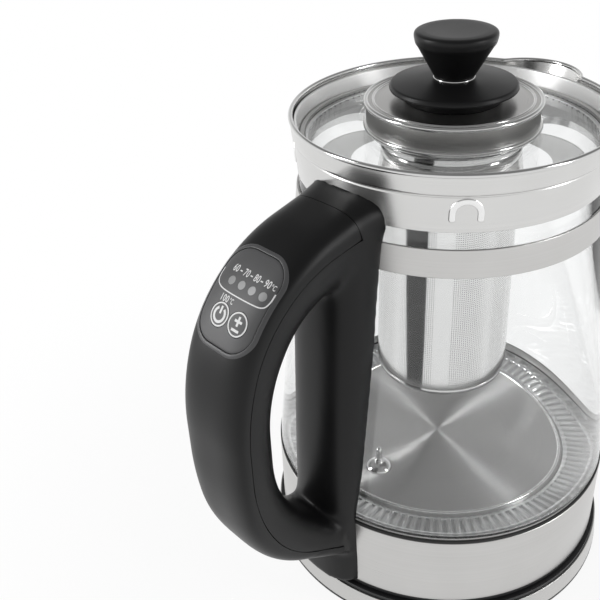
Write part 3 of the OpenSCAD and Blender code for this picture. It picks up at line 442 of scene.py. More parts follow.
collar_profile = [(0, collar_z0), (sheet, collar_z0), (sheet, crease_z - 0.2),
                  (0.5, crease_z + 0.35), (sheet, crease_z + 1.4), (sheet, rim_z - 0.6),
                  (0.9, rim_z - 0.4), (0, rim_z - 0.4)]
wall = softened(collar_profile, [0.2, 0.3, 0.35, 0.3, 0.6, 0.2, 0.1, 0.1], steps=5)
wall_z, collar_turns = wall[:, 1:], 480
collar_a = angles(collar_turns)
wall_r = lip_bore(collar_a, wall_z) + wall[:, :1]
collar = carried("collar_steel_ring", wall_r, wall_z, collar_turns)
fit(collar, collar_steel, "kettle", "polished_steel", "collar")
roll = np.linspace(-0.75 * math.pi, 1.05 * math.pi, 25)[:, None]
roll_r = lip_bore(collar_a, rim_z) + 0.5 + np.cos(roll)
rolled_rim = carried("rolled_rim", roll_r, rim_z + np.sin(roll), collar_turns)
fit(rolled_rim, polished, "kettle", "polished_steel")


def tube(name, path, out, high, wide):
    """Pressed bead: an ellipse carried along a path, `high` in the path's outward direction and
    `wide` in the cross product of travel and outward, drawn to a point at both ends."""
    travel = np.gradient(path, axis=0)
    travel /= np.linalg.norm(travel, axis=1)[:, None]
    side = np.cross(travel, out)
    b = angles(20)[None, :, None]
    count = np.arange(len(path))
    drawn = np.clip(np.minimum(count, count[::-1]) / 4, 0, 1)
    grow = np.sqrt(np.clip(1 - (1 - drawn) ** 2, 0, 1))[:, None, None]
    ellipse = high * np.cos(b) * out[:, None] + wide * np.sin(b) * side[:, None]
    return skin(name, path[:, None] + grow * ellipse)


arch_r, arch_leg, arch_angle = 5.3, 3.6, math.radians(43.7)
arch_z = collar_z0 + 0.36 * collar_h - 0.8
bow = np.linspace(0, math.pi, 41)
leg = np.linspace(-arch_leg, 0, 14)[:-1]
leg_y = np.full(len(leg), arch_r)
arch_y = np.hstack([leg_y, arch_r * np.cos(bow), -leg_y])
arch_up = np.hstack([leg, arch_r * np.sin(bow), leg[::-1]])
arch_wall = collar_bore(arch_z + arch_up) + sheet
# The arches wear the lighter steel: a painted highlight that makes them brighter than the collar
# they are pressed from.
for name, side in (("arch_left", 1), ("arch_right", -1)):
    turn = math.pi + side * arch_angle + arch_y / arch_wall
    outward = stacked(np.cos(turn), np.sin(turn), 0)
    arch_path = outward * (arch_wall + 0.05)[:, None]
    arch_path[:, 2] = arch_z + arch_up
    arch = tube(name, arch_path, outward, high=0.55, wide=1.3)
    fit(arch, painted_highlight_steel, "kettle", "polished_steel")

# Handle frame: one satin black moulding with the spine that lies against the glass and
# the inner half of the grip. Its upper end is a closed cap under the collar, its lower
# root runs into the spine with a round fillet. Two screws hold it to the foot band.
z_mouth, z_band = jar_z1, band_z0
grip_w, spine_w, spine_deep, spine_back = 18, 19.4, 14, 24
spine_lean = math.radians(2.79)
crown_power, finger_power, spine_power = 3.3, 2.5, 2.4
bends_tall = 186.7
stretch = z_mouth - (z_band - 2.5) - bends_tall
# A line: start (out, up, heading), lengths of three straights, (radius, angle) of the arcs
# in its two bends.
crown_line = ((foot_r - 5.9, z_mouth - 2.86, -13), (12.4, stretch, 32),
              (((67.5, 55), (93, 22)), ((172, 9.2), (56, 48.2))))
seam_line = ((foot_r - 8.5, z_mouth - 13.7, -9), (14, stretch, 14),
             (((54, 61), (96, 20)), ((83, 28), (60, 34.5))))
inner_line = ((foot_r - 9.5, z_mouth - 35.5, -8.5), (12.9, stretch, 2.5),
              (((31.3, 42.3), (57, 39.2)), ((71.2, 53),)))


def trace(line, u):
    """Point (out, up) of a handle line at places u, one unit of u for each straight or bend.

    It is the start plus what each has travelled, with u clipped to its span: a straight adds
    length times (cos h, sin h), an arc R (sin h - sin(h - a), cos(h - a) - cos h).
    """
    start, straights, bends = line
    u, heading = np.asarray(u, float), math.radians(start[2])
    point = np.zeros(u.shape + (2,)) + np.array(start[:2], float)
    for k, length in enumerate(straights):
        t = np.clip(u - 2 * k, -np.inf if k == 0 else 0, np.inf if k == 2 else 1)
        point += length * t[..., None] * np.array([math.cos(heading), math.sin(heading)])
        begin = 2 * k + 1
        arcs = bends[k] if k < 2 else ()
        total = sum(angle for _, angle in arcs)
        for radius, angle in arcs:
            a = np.clip((u - begin) * total / angle, 0, 1) * math.radians(angle)
            point += radius * stacked(math.sin(heading) - np.sin(heading - a),
                                      np.cos(heading - a) - math.cos(heading))
            heading -= math.radians(angle)
            begin += angle / total
    return point


def places(start, *runs):
    """Places u along a handle line: from a start, even steps to each (stop, count)."""
    way = [np.array([start])]
    for stop, count in runs:
        way.append(np.linspace(way[-1][-1], stop, count)[1:])
    return np.hstack(way)


def grip_half(u):
    """Half width of the grip at places u, flared at both roots."""
    return grip_w + 2 * np.maximum(0, -u) + 1.2 * np.maximum(0, u - 4)


def half_oval(width, t, power):
    """Half of a superellipse: across = -width sign(c)|c|^(2/p), rise = s^(2/p)."""
    c, s = np.cos(t), np.clip(np.sin(t), 0, None)
    return -width * np.sign(c) * np.abs(c) ** (2 / power), s ** (2 / power)


def to_handle(point, across):
    """Points (out, up) and distances across in the part's frame: the handle points to -X."""
    return stacked(-point[..., 0], -across, point[..., 1])


def hug(points, gap):
    """Moves points that lie inside the kettle straight out of it, along -X, to `gap` off its
    surface: x = -sqrt(r^2 - y^2) with r the kettle's radius at that level."""
    c0, c1, k0 = clamp_z0 - 0.3, clamp_z1 + 0.3, collar_z0 - 0.3
    level, limit = np.array([
        (0, foot_r), (jar_z0 + 0.3, foot_r), (jar_z0 + 0.31, jar_r(jar_z0) + 0.3),
        (c0, jar_r(c0) + 0.3), (c0 + 0.01, jar_r(c0) + sheet), (c1, jar_r(c1) + sheet),
        (c1 + 0.01, jar_r(c1) + 0.3), (k0, jar_r(k0) + 0.3), (k0 + 0.01, collar_in + sheet),
        (crease_z, collar_in + 2.1), (crease_z + 2, collar_in + 4.5), (300, collar_in + 4.5)]).T
    x, y, z = np.moveaxis(points, -1, 0)
    r = np.interp(z, level, limit) + gap
    return stacked(np.minimum(x, -np.sqrt(np.maximum(r ** 2 - y ** 2, 0))), y, z)


def grip_rings(u):
    """Whole sections of the grip at places u: the crown's half and the finger side back, each
    point a share of the way from the seam line to the crown line or the inner line."""
    half = np.linspace(0, math.pi, 45)
    seam, crown, inner = (trace(line, u)[:, None] for line in (seam_line, crown_line, inner_line))
    width, root = grip_half(u)[:, None], np.clip((u - 3.3) / 1.5, 0, 1)[:, None]
    y1, f1 = half_oval(width, half[None], crown_power)
    y2, f2 = half_oval(width, half[None, 1:-1], finger_power + 2 * root)
    p1 = seam + f1[..., None] * (crown - seam)
    p2 = seam + f2[..., None] * (inner - seam)
    return np.hstack([to_handle(p1, y1), to_handle(p2, -y2)])


def closed_loft(rings):
    """Rings with both ends drawn in to their middles, as one closed skin that goes 2 mm into
    the kettle where it meets it. Returns points and faces."""
    shrink = np.linspace(0, 1, 8)[:-1, None, None]
    first, last = rings[0], rings[-1]
    heads = first.mean(0) + shrink * (first - first.mean(0))
    tails = last.mean(0) + shrink[::-1] * (last - last.mean(0))
    points = hug(np.vstack([heads, rings, tails]), -2)
    return points.reshape(-1, 3), quads(*points.shape[:2], False)


def spine_front(z):
    """Distance of the spine's front from the axis: it leans with the jar and draws in by 2.5
    below the grip's root."""
    drawn = 2.5 * np.clip((z - z_band - 18) / 22, 0, 1)
    return foot_r + 7.4 + drawn - math.tan(spine_lean) * (z - z_band)


def spine_rings(z):
    """Sections of the spine at levels z: half a superellipse in front, straight sides and a back
    inside the kettle."""
    across, rise = half_oval(spine_w, np.linspace(0, math.pi, 61), spine_power)
    side = np.linspace(-spine_back, -spine_deep, 10)[:-1]
    side_y = np.full(len(side), spine_w)
    back_y = np.linspace(1, -1, 25)[1:-1] * spine_w
    d = np.hstack([side, spine_deep * (rise - 1), side[::-1], np.full(len(back_y), -spine_back)])
    y = np.hstack([-side_y, across, side_y, back_y])
    out = spine_front(z)[:, None] + d
    return to_handle(stacked(out, z[:, None]), y)


grip_u = places(-1.2, (1, 24), (2, 60), (3, 10), (4, 60), (5.2, 16))
grip_points, grip_faces = closed_loft(grip_rings(grip_u))
spine_points, spine_faces = closed_loft(spine_rings(np.linspace(z_band, z_mouth - 13, 130)))
handle_frame = piece("handle_frame_moulding", np.vstack([grip_points, spine_points]),
                     grip_faces, spine_faces + len(grip_points))


def evaluated(made):
    """Mesh that an object's modifiers or letters make."""
    graph = bpy.context.evaluated_depsgraph_get()
    return bpy.data.meshes.new_from_object(made.evaluated_get(graph))


def applied(made):
    """Gives an object the mesh that its modifiers make."""
    made.data = evaluated(made)
    made.modifiers.clear()
    return made.data


def numbers(items, field, width, kind):
    """One field of a mesh's points, edges or triangles, a row each."""
    values = np.empty(len(items) * width, kind)
    items.foreach_get(field, values)
    return values.reshape(-1, width)


def settle(made, voxel, rounds):
    """Fuses overlapping closed skins and rounds the inner corners: a voxel remesh, then passes
    that move each point half way to the middle of its neighbours, fully where grip and spine
    meet and little elsewhere, then off the kettle."""
    fuse = made.modifiers.new("fuse", "REMESH")
    fuse.mode, fuse.voxel_size = "VOXEL", voxel
    mesh = applied(made)
    co = numbers(mesh.vertices, "co", 3, np.float32) / MM
    i, j = numbers(mesh.edges, "vertices", 2, np.int32).T
    count, near = len(co), np.full(len(co), 0.12)
    for root_u, reach in ((5, 19), (0, 22)):
        corner_z = trace(inner_line, root_u)[1]
        off = np.hypot(spine_front(co[:, 2]) + co[:, 0], co[:, 2] - corner_z)
        near = np.maximum(near, np.clip(1.6 - off / reach, 0, 1))
    degree = np.bincount(i, minlength=count) + np.bincount(j, minlength=count)
    for _ in range(rounds):
        total = np.stack([np.bincount(i, co[j, k], count) + np.bincount(j, co[i, k], count)
                          for k in range(3)], -1)
        co = co + 0.5 * near[:, None] * (total / degree[:, None] - co)
    mesh.vertices.foreach_set("co", (hug(co, slip) * MM).astype(np.float32).ravel())
    mesh.update()
    mesh.shade_smooth()


def cut(made, *tools, sharp=40):
    """Takes the tools out of a piece with an exact Boolean and removes them."""
    for tool in tools:
        take = made.modifiers.new("take", "BOOLEAN")
        take.operation, take.solver, take.object = "DIFFERENCE", "EXACT", tool
    mesh = applied(made)
    for tool in tools:
        bpy.data.objects.remove(tool)
    mesh.set_sharp_from_angle(angle=math.radians(sharp))


def screw_well(level, radius=3.2, length=9):
    """Cylinder along -X, from inside the grip to the finger side, closed at both ends."""
    a, far = angles(48), np.array([0, 0, length, length])[:, None]
    r = radius * np.array([0, 1, 1, 0])[:, None]
    return skin("screw_well", stacked(4 - finger_x - far, -r * np.sin(a), level - r * np.cos(a)))


settle(handle_frame, voxel=0.0009, rounds=70)
grip_mid = trace(seam_line, 2.5)[1]
finger_x = trace(inner_line, 2.5)[0]
seam_u = places(0.012, (0.2, 2), (1, 6), (2, 40), (3, 6), (4, 40), (4.98, 8))
seam_way, crown_way = trace(seam_line, seam_u), trace(crown_line, seam_u)
far_way, far_y = seam_way + 1.6 * (crown_way - seam_way), 30
strip = np.stack([to_handle(way, y) for way, y in (
    (seam_way, -far_y), (far_way, -far_y), (far_way, far_y), (seam_way, far_y))], 1)
strip_ends = np.arange(4) + np.array([[0], [4 * (len(seam_u) - 1)]])
cover_space = piece("cover_space", strip, quads(len(seam_u), 4, False), strip_ends)
cut(handle_frame, cover_space, screw_well(grip_mid + 8), screw_well(grip_mid - 8))
satin_black = grained("satin_black", (0.005, 0.005, 0.0053), (0.009, 0.009, 0.0094),
    0.38, 0.12, 2400, 2e-5, {"Specular IOR Level": 0.25})
fit(handle_frame, satin_black, "kettle", "black_shell", "handle_frame")

# Handle cover: the outer half of the grip, a satin black shell that clips on the frame
# along the seam and is held by the two screws from the finger side. A window under the
# control panel lets its keys through.
panel_bend, panel_mid = 67.5, 43.7
panel_l, panel_w, panel_corner, bezel_wide = 19.5, 14.8, 10, 1.8
bend_total = sum(angle for _, angle in crown_line[2][0])


def inward(degrees):
    """Direction square to a heading, to the inside of a bend."""
    return np.array([math.sin(math.radians(degrees)), -math.cos(math.radians(degrees))])


bend_c = trace(crown_line, 1) + panel_bend * inward(crown_line[0][2])


def crown_at(along, across, lift):
    """Point on the crown: `along` millimetres down the grip from the panel's middle, `across` to
    the right as read and `lift` above the skin.

    u starts from along = R sin(turn) in the first bend and is corrected for the drop of the
    section. The point lies (1 - |y/w|^p)^(1/p) of the way from seam to crown.
    """
    along, across, lift = np.broadcast_arrays(np.asarray(along, float), across, lift)
    turn = np.arcsin(along / panel_bend)
    rise = (1 - np.abs(across / grip_w) ** crown_power) ** (1 / crown_power)
    for _ in range(3):
        u = 1 + (bend_total - panel_mid + np.degrees(turn)) / bend_total
        seam, crown = trace(seam_line, u), trace(crown_line, u)
        deep = np.linalg.norm(crown - seam, axis=-1)
        point = seam + (rise * (1 + lift / deep))[..., None] * (crown - seam)
        slide = along - (point - bend_c) @ inward(panel_mid)
        turn = turn + slide / panel_bend
    return to_handle(point, across)


def circle(radius, a):
    """Points round the origin at angles a."""
    return radius * stacked(np.cos(a), np.sin(a))


def outline(inset, count=240):
    """Rounded rectangle of (along, across), `inset` inside the bezel's outer edge: four corner
    arcs joined by straights, at even steps of length."""
    corner = panel_corner + bezel_wide
    mid = np.array([panel_l, panel_w]) + bezel_wide - corner
    a = angles(120)
    loop = np.sign(circle(1, a + 1e-6)) * mid + circle(corner - inset, a)
    loop = np.vstack([loop, loop[:1]])
    way = np.hstack([[0], np.cumsum(np.linalg.norm(np.diff(loop, axis=0), axis=1))])
    at = np.linspace(0, way[-1], count, endpoint=False)
    return stacked(np.interp(at, way, loop[:, 0]), np.interp(at, way, loop[:, 1]))


cover_u = places(0.036, (1, 14), (2, 60), (3, 10), (4, 60), (4.972, 16))


def cover_skin(thin, drop):
    """Skin of the cover: the seam point plus the section's rise times the way to the crown line,
    narrowed by `thin` and shortened by `drop`. Its edge stands 0.35 off the seam."""
    half = np.linspace(0, math.pi, 61)[None]
    seam, crown = trace(seam_line, cover_u)[:, None], trace(crown_line, cover_u)[:, None]
    across, rise = half_oval(grip_half(cover_u)[:, None] - thin, half, crown_power)
    deep = np.linalg.norm(crown - seam, axis=-1)
    low = np.minimum(0.35 / deep, 0.9)
    share = np.maximum(np.maximum(1 - drop / deep, 0.25) * rise, low)
    point = seam + share[..., None] * (crown - seam)
    return to_handle(point, across)


# Outer skin and inner skin back make one closed ring of points for each section.
cover_rings = np.hstack([cover_skin(0, 0), cover_skin(2.4, 3.6)[:, ::-1]])
cover_rows, ring_count = cover_rings.shape[:2]
edge = np.arange(ring_count // 2 - 1)
end_faces = stacked(edge, edge + 1, ring_count - 2 - edge, ring_count - 1 - edge)
handle_cover = piece("handle_cover_shell", cover_rings, quads(cover_rows, ring_count, False),
                     end_faces[:, ::-1], end_faces + (cover_rows - 1) * ring_count, sharp=50)
window_edge, window_deep, window_high = outline(1, 160).T, -9, 3
window = np.stack([crown_at(*(window_edge * s), h) for s, h in (
    (0, window_deep), (1, window_deep), (1, window_high), (0, window_high))])
cut(handle_cover, skin("window", window))
fit(handle_cover, satin_black, "kettle", "black_shell", "handle_cover")

# Control panel: a grey face in a slightly darker bezel, with four milky light pipes and two
# round keys over the switches of a small lacquered board. The marks are printed in white.
panel_grey, key_grey, bezel_grey = (
    grained(name, (dark, dark, dark + 0.002), (light, light, light + 0.002), rough, 0.1, grain,
            1.2e-5, {"Specular IOR Level": shine})
    for name, dark, light, rough, grain, shine in (
        ("panel_grey", 0.076, 0.092, 0.42, 2600, 0.35),
        ("key_grey", 0.058, 0.070, 0.42, 2600, 0.35),
        ("bezel_grey", 0.064, 0.078, 0.36, 2400, 0.4)))
milky_lamp = grained("milky_lamp", (0.26, 0.262, 0.264), (0.31, 0.312, 0.314), 0.3, 0.1, 800, 1e-5)
lacquer_board = grained("lacquer_board", (0.008, 0.06, 0.025), (0.015, 0.09, 0.04),
    0.3, 0.2, 600, 3e-5)
print_white = grained("print_white", (0.74, 0.74, 0.74), (0.8, 0.8, 0.8), 0.5, 0.1, 3000, 4e-6)
cover_nodes(lacquer_board, "control_board")
bezel_edge = [(0, -2), (0, -0.12), (0.12, 0.06), (0.35, 0.15), (1.45, 0.15), (1.65, 0.08),
              (1.75, -0.05), (bezel_wide, -0.3), (bezel_wide, -2)]
bezel_rows = np.stack([crown_at(*outline(inset).T, lift) for inset, lift in bezel_edge])
panel_bezel = skin("panel_bezel_frame", bezel_rows, closed=True, sharp=50)
fit(panel_bezel, bezel_grey, "kettle", "bezel_grey", "panel_bezel")


def cushion(name, edge, middle, thick, lift=0, soft=0.2):
    """Plate that follows the crown: an edge loop shrunk to its middle over the top and under
    the bottom, with a softened upper edge."""
    s = np.hstack([[0, 0.5, 1, 1, 1 - 0.3 * soft / 5, 1 - soft / 5], np.linspace(0.95, 0, 16)])
    h = np.hstack([[-thick] * 3, [-soft, -0.3 * soft], np.zeros(17)]) + lift
    loop = np.asarray(middle) + s[:, None, None] * edge[None]
    return skin(name, crown_at(loop[..., 0], loop[..., 1], h[:, None]), sharp=60)


key_angle, key_r, key_hole, key_across = 36.6, 4.75, 5, (-4, 6.2)
lamp_angle, lamp_r, lamp_hole, lamp_across = 47.9, 1.78, 1.8, (-6.4, -0.7, 5, 10.7)
key_along, lamp_along = (panel_bend * math.sin(math.radians(panel_mid - angle))
                         for angle in (key_angle, lamp_angle))
panel_face = cushion("panel_face_plate", outline(bezel_wide + 0.22), (0, 0), thick=1.2)
key_a, lamp_a = angles(64), angles(32)
holes = [cushion("key_hole", circle(key_hole, key_a), (key_along, y), 3, 1, 0.1)
         for y in key_across]
holes += [cushion("lamp_hole", circle(lamp_hole, lamp_a), (lamp_along, y), 3, 1, 0.1)
          for y in lamp_across]
cut(panel_face, *holes)
fit(panel_face, panel_grey, "kettle", "panel_grey", "panel_face")
for name, y in zip(("power_key", "level_key"), key_across):
    key = cushion(name + "_cap", circle(key_r, key_a), (key_along, y), thick=1.8)
    fit(key, key_grey, name, "panel_grey", name)
for k, y in enumerate(lamp_across):
    lamp = cushion("lamp_%d" % (k + 1), circle(lamp_r, lamp_a), (lamp_along, y), 2.4, -0.02, 0.1)
    fit(lamp, milky_lamp, "kettle", "lamp_clear", *(["panel_lamps"] if k == 0 else []))
print_foot, stroke_top, letter_top = -0.02, 0.05, 0.06


def stroke(path, width, closed=False):
    """Printed line: a flat bar of the given width carried along a path of (across, up)
    millimetres, drawn in at open ends. Returns points and faces on the flat sheet."""
    path = np.asarray(path, float)
    ahead = np.roll(path, -1, 0) - np.roll(path, 1, 0)
    if not closed:
        ahead[0], ahead[-1] = path[1] - path[0], path[-1] - path[-2]
    ahead /= np.linalg.norm(ahead, axis=1)[:, None]
    side = stacked(-ahead[:, 1], ahead[:, 0]) * width / 2
    corner = np.array([(-1, print_foot), (1, print_foot), (1, stroke_top), (-1, stroke_top)])
    flat = path[:, None] + corner[None, :, :1] * side[:, None]
    lift = np.broadcast_to(corner[None, :, 1:], flat.shape[:2] + (1,))
    rows = np.concatenate([flat, lift], -1)
    if not closed:
        tips = rows[[0, -1]].mean(1, keepdims=True).repeat(4, 1)
        rows = np.vstack([tips[:1], rows, tips[1:]])
    return rows.reshape(-1, 3), quads(len(rows), 4, closed)


def bar(middle, half, width):
    """Straight printed line through a middle, half of it on either side."""
    middle, half = np.array(middle), np.array(half)
    return stroke([middle - half, middle, middle + half], width)


def lettering(words, height, stretch_x, middle):
    """Printed words: the built-in letter shapes as a flat sheet with a little thickness."""
    curve = bpy.data.curves.new("lettering", "FONT")
    curve.body, curve.align_x, curve.align_y = words, "CENTER", "CENTER"
    curve.extrude, curve.offset = 0.012, 0.01
    curve.resolution_u, curve.space_character = 4, 1.08
    made = placed("lettering", curve)
    mesh = evaluated(made)
    mesh.calc_loop_triangles()
    co = numbers(mesh.vertices, "co", 3, np.float32)
    co = co * (height * stretch_x, height, 1) + (*middle, 0)
    co[:, 2] = np.where(co[:, 2] > 0, letter_top, print_foot)
    triangles = numbers(mesh.loop_triangles, "vertices", 3, np.int32)
    bpy.data.objects.remove(made)
    return co, triangles


def printed(name, origin, parts, body):
    """Joins flat parts of (across, up, lift) into one printed piece that follows the crown."""
    flat = np.vstack([points for points, _ in parts])
    starts = np.cumsum([0] + [len(points) for points, _ in parts])
    faces = [face + start for (_, face), start in zip(parts, starts)]
    points = crown_at(origin[0] - flat[:, 1], origin[1] + flat[:, 0], flat[:, 2])
    fit(piece(name, points, *faces, sharp=None), print_white, body, "lamp_clear")


def flowing(corners, rounds=4):
    """Smooth line: each pass cuts the corners of a chain at a quarter of every edge."""
    line = np.asarray(corners, float)
    for _ in range(rounds):
        a, b = line[:-1], line[1:]
        cuts = np.stack([0.75 * a + 0.25 * b, 0.25 * a + 0.75 * b], 1).reshape(-1, 2)
        line = np.vstack([line[:1], cuts, line[-1:]])
    return line


bracket = flowing([(-13.9, 8), (-13.9, 3.2), (-10.6, 0.9), (-5, 0.3), (8, 0.4), (13.4, 1),
                   (14.6, 4.2), (14.6, 7.8)])
marks = [stroke(bracket, 0.48)]
for k, (word, y) in enumerate((("60", -7.6), ("70", -1.6), ("80", 4.2), ("90", 9.8))):
    marks.append(lettering(word, 4.2, 0.68, (y, 9.7)))
    if k:
        marks.append(bar((y - 3, 9.6), (0.6, 0), 0.5))
marks += [lettering("°C", 3, 0.62, (12.6, 9.5)), lettering("100", 3.9, 0.76, (-5.1, -2.2)),
          lettering("°C", 3, 0.62, (-1.2, -2.2))]
printed("panel_print", (0, 0), marks, "kettle")
key_ring = stroke(circle(4.4, angles(64)), 0.6, closed=True)
power_arc = stroke(circle(2.75, np.radians(np.linspace(122, 418, 40))) + (0, -0.1), 1.05)
printed("power_print", (key_along, key_across[0]),
        [key_ring, power_arc, bar((0, 1.8), (0, 1.5), 0.95)], "power_key")
plus_minus = [bar((0, 1.1), (1.9, 0), 1), bar((0, 1.1), (0, 1.9), 1),
              bar((0, -2.4), (1.9, 0), 1)]
printed("level_print", (key_along, key_across[1]), [key_ring, *plus_minus], "level_key")

# Lid: a polished steel trim ring that seats in the collar, a pale silicone seal, and a
# clear tempered plate with a ground hole that the infuser hangs in.
spun_steel = grained("spun_steel", (0.88, 0.88, 0.875), (0.95, 0.95, 0.945),
    0.42, 0.1, 1500, 4e-6, metal, True)
lid_r, lid_z0, lid_z1 = span("lid_ring")
lid_foot, lid_flare = lid_r - 0.6, collar_bore(lid_z1) - 0.6
shelf_r, shelf_z = lid_foot - 4.6, lid_z0 + 0.7
turned("lid_trim", [
    (shelf_r, lid_z0), (lid_foot, lid_z0), (lid_flare, lid_z1 - 0.6), (lid_flare - 0.3, lid_z1),
    (lid_flare - 1.2, lid_z1 - 0.4), (lid_foot - 0.9, shelf_z), (shelf_r, shelf_z)],
    0.3, spun_steel, "lid", "polished_steel", "lid_ring")
pane_r, pane_z0, pane_z1 = span("lid_glass")
basket_r, wall_z0, wall_z1 = span("basket_wall")
pane_hole = basket_r + 1.6
turned("lid_pane", [
    (pane_hole, pane_z0), (pane_r, pane_z0), (pane_r, pane_z1), (pane_hole, pane_z1)],
    0.7, glass.material, "lid", "clear_glass", "lid_glass")

# Infuser: a stainless basket. The flange and neck are drawn, the wall is a rolled sheet
# etched with rows of fine holes, and the floor is a pressed dish welded on below.
hang_r, _, hang_z1 = span("basket_rim")
floor_z0 = span("basket_floor")[1]
basket_in, foil, flange = basket_r - 0.8, 0.5, 1.2
turned("basket_flange", [
    (basket_in, wall_z1), (basket_r, wall_z1), (basket_r, wall_z1 + 3), (basket_in, wall_z1 + 4),
    (basket_r + 1, hang_z1 - flange), (hang_r, hang_z1 - flange), (hang_r, hang_z1),
    (basket_r - 0.6, hang_z1), (basket_r - 1.6, wall_z1 + 4), (basket_in, wall_z1 + 3)],
    0.4, polished, "basket", "polished_steel", "basket_rim")
turned("basket_dish", [
    (0, floor_z0), (basket_r - 2, floor_z0), (basket_r, floor_z0 + 2), (basket_r, floor_z0 + 4),
    (basket_in, floor_z0 + 4), (basket_in, floor_z0 + 2.2), (basket_r - 2.3, floor_z0 + 0.8),
    (0, floor_z0 + 0.8)],
    [0, 1, 1, 0.2, 0.2, 0.6, 0.6, 0], polished, "basket", "polished_steel", "basket_floor")


def perforated(name, columns, pitch, hole, low, high):
    """Polished sheet with a square grid of round holes cut by alpha: rows a pitch apart on the
    height and columns on the angle, between two levels, with a plain strip along the weld."""
    finish = Finish(name, metal)
    x, y, z = finish.axes()
    angle, weld, half_weld = y.math("ARCTAN2", x), 2.48, 0.13
    column = (angle * (columns / (2 * math.pi))).math("FRACT") - 0.5
    across = column * (2 * math.pi * basket_r * MM / columns)
    along = ((z / pitch).math("FRACT") - 0.5) * pitch
    inside = (across * across + along * along).math("LESS_THAN", hole * hole)
    pierced = z.math("GREATER_THAN", low) * z.math("LESS_THAN", high)
    pierced = pierced * (angle + weld).math("ABSOLUTE").math("GREATER_THAN", half_weld)
    streak = finish.noise(finish.lathe(), scale=1500)
    finish.wear({"Base Color": finish.tint(streak, (0.72, 0.72, 0.715), (0.80, 0.80, 0.795)),
                 "Roughness": 0.08 + streak * 0.06, "Alpha": 1 - inside * pierced})
    return finish.material


etched_sheet = perforated("etched_sheet", columns=208, pitch=0.00098, hole=0.00023,
                          low=(wall_z0 + 2) * MM, high=(wall_z1 - 2) * MM)
turned("basket_sheet", [
    (basket_r - foil, wall_z0), (basket_r, wall_z0), (basket_r, wall_z1),
    (basket_r - foil, wall_z1)], 0.1, etched_sheet, "basket", "polished_steel", "basket_wall")

# Cap of the infuser: a spun steel cap with a rolled bead at its top and foot, a black
# heat shield, a thin bright ring and a flared black knob, held by one long screw.
cap_out, cap_z0, cap_z1 = span("cap_shell")
cap_r, cap_t = cap_out - 1.2, 0.8
turned("cap_steel", [
    (0, cap_z1 - 1.6), (cap_r - cap_t, cap_z1 - 1.6), (cap_r - cap_t, cap_z0), (cap_r, cap_z0),
    (cap_r, cap_z1 - 0.8), (0, cap_z1 - 0.8)],
    [0, 0.2, 0.2, 0.2, 0.5, 0], brushed, "cap", "brushed_steel", "cap_shell")
for name, ring, wire, z in (("cap_bead_top", cap_r + 0.1, 1.1, cap_z1 - 1.1),
                            ("cap_ridge", cap_r - 3, 0.8, cap_z1 - 1),
                            ("cap_bead_foot", cap_r, 1.2, cap_z0 + 1.2)):
    bead(name, ring, wire, z, polished, "cap", "polished_steel")
shield_r, shield_z0, shield_z1 = span("heat_shield")
turned("heat_shield_disc", [
    (0, shield_z0), (20.5, shield_z0), (22, shield_z1 - 4), (shield_r, shield_z1 - 3.9),
    (shield_r + 0.5, shield_z1 - 3.2), (shield_r - 0.2, shield_z1 - 1.4), (12, shield_z1 + 0.6),
    (0, shield_z1 + 0.7)],
    [0, 0.3, 0.8, 0.4, 0.6, 0.8, 4, 0], satin_black, "cap", "black_shell", "heat_shield")
knob_r, knob_z0, knob_z1 = span("knob")
brim, neck = knob_r + 1.3, 8.3
turned("knob_neck_ring", [
    (0, shield_z1), (neck + 0.4, shield_z1), (neck + 0.4, knob_z0), (0, knob_z0)],
    [0, 0.2, 0.4, 0], polished, "cap", "polished_steel", "knob_collar", turns=120)
turned("knob_moulding", [
    (0, knob_z0), (neck, knob_z0), (brim - 1.4, knob_z1 - 6), (brim - 0.6, knob_z1 - 5),
    (brim, knob_z1 - 2.2), (brim - 0.2, knob_z1 - 0.9), (brim - 1.4, knob_z1 - 0.2),
    (brim - 4, knob_z1), (0, knob_z1 - 0.4)],
    [0, 0.4, 0.8, 0.8, 0.8, 0.6, 0.8, 1, 0], satin_black, "cap", "black_shell", "knob")

# Studio: a pale floor, a bright even surround and three soft boxes. The floor and the
# surround show as white to the camera, to mirrors and through glass.


def seen(finish):
    """1 on rays from the camera, off mirrors and through glass, 0 on rays that only light."""
    camera_ray, glossy, through = (finish.put("LightPath", out="Is %s Ray" % kind)
                                   for kind in ("Camera", "Glossy", "Transmission"))
    return camera_ray.math("MAXIMUM", glossy).math("MAXIMUM", through)


def eased(finish, value, low, high, start, stop):
    """Smooth step from start to stop while a value runs from low to high."""
    inputs = dict(enumerate((value, low, high, start, stop)))
    return finish.put("MapRange", inputs, interpolation_type="SMOOTHSTEP")


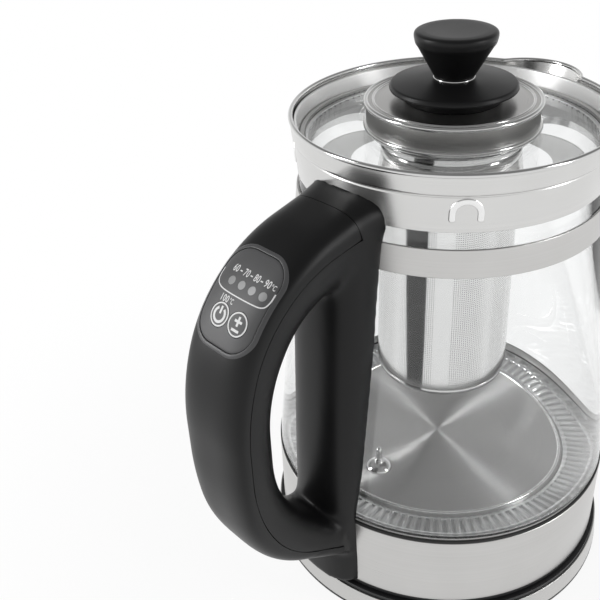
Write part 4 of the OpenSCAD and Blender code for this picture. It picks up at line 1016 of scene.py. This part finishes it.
white = (1, 1, 1, 1)
floor_mesh = bpy.data.meshes.new("floor")
floor_mesh.from_pydata([(-6, -6, 0), (6, -6, 0), (6, 6, 0), (-6, 6, 0)], [], [(0, 1, 2, 3)])
floor = placed("floor", floor_mesh)
paper = Finish("floor_paper", {"Roughness": 0.9, "Base Color": (0.86, 0.86, 0.86, 1)})
floor_x, floor_y, _ = paper.axes()
away = (floor_x * floor_x + floor_y * floor_y) ** 0.5
share = eased(paper, away, low=0.1, high=0.35, start=0.9, stop=1)
glow = paper.put("Emission", {"Color": white, "Strength": 1})
mixed = paper.put("MixShader", {
    0: seen(paper) * share, 1: Wire(paper, paper.shader.outputs[0]), 2: glow})
paper.tree.links.new(mixed.socket, paper.tree.nodes["Material Output"].inputs["Surface"])
floor_mesh.materials.append(paper.material)

air = Finish("surround", {"Color": white}, "worlds", "Background")
bpy.context.scene.world = air.material
up = air.put("SeparateXYZ", {0: air.put("TexCoord", out="Generated")}, 2)
backdrop = 1 - eased(air, up, low=0.1, high=0.6, start=0, stop=0.75)
air.wear({"Strength": 0.5 + (backdrop - 0.5) * seen(air)})


def soft_box(name, place, size, power, aim=(0, 0, 0.13)):
    """Rectangular lamp that looks from a place to the middle of the kettle."""
    lamp = bpy.data.lights.new(name, "AREA")
    lamp.shape, lamp.size, lamp.size_y, lamp.energy = "RECTANGLE", *size, power
    made = placed(name, lamp)
    made.location = place
    away = Vector(place) - Vector(aim)
    made.rotation_euler = away.to_track_quat("Z", "Y").to_euler()


soft_box("box_left", (-0.82, 0.72, 0.6), size=(0.22, 0.9), power=6.5)
soft_box("box_right", (0.45, -1.1, 0.6), size=(0.2, 0.9), power=4.5)
soft_box("box_back", (0.75, 0.6, 1), size=(0.8, 0.8), power=0.4)

# Camera: fitted to the round edges of the kettle. It is turned where it stands before the
# y axis, and then spun round the upright axis.
spin, yaw, tilt, lean = math.radians(-52.3), 0.191697, math.pi / 2 - 0.565901, -0.054127


def spun(angle, i, j):
    """Turn from axis i towards axis j."""
    turn, c, s = np.eye(4), math.cos(angle), math.sin(angle)
    turn[[i, i, j, j], [i, j, i, j]] = c, -s, s, c
    return turn


stand = np.eye(4)
stand[:3, 3] = 0, -0.359744, 0.361719
pose = spun(spin, 0, 1) @ stand @ spun(yaw, 0, 1) @ spun(tilt, 1, 2) @ spun(lean, 0, 1)
lens = bpy.data.cameras.new("camera")
lens.lens, lens.sensor_width, lens.sensor_fit = 52.63, 36, "HORIZONTAL"
lens.clip_start, lens.clip_end = 0.01, 50
camera = placed("camera", lens)
camera.matrix_world = Matrix(pose.tolist())
bpy.context.scene.camera = camera
bpy.context.scene.view_settings.view_transform = "Standard"
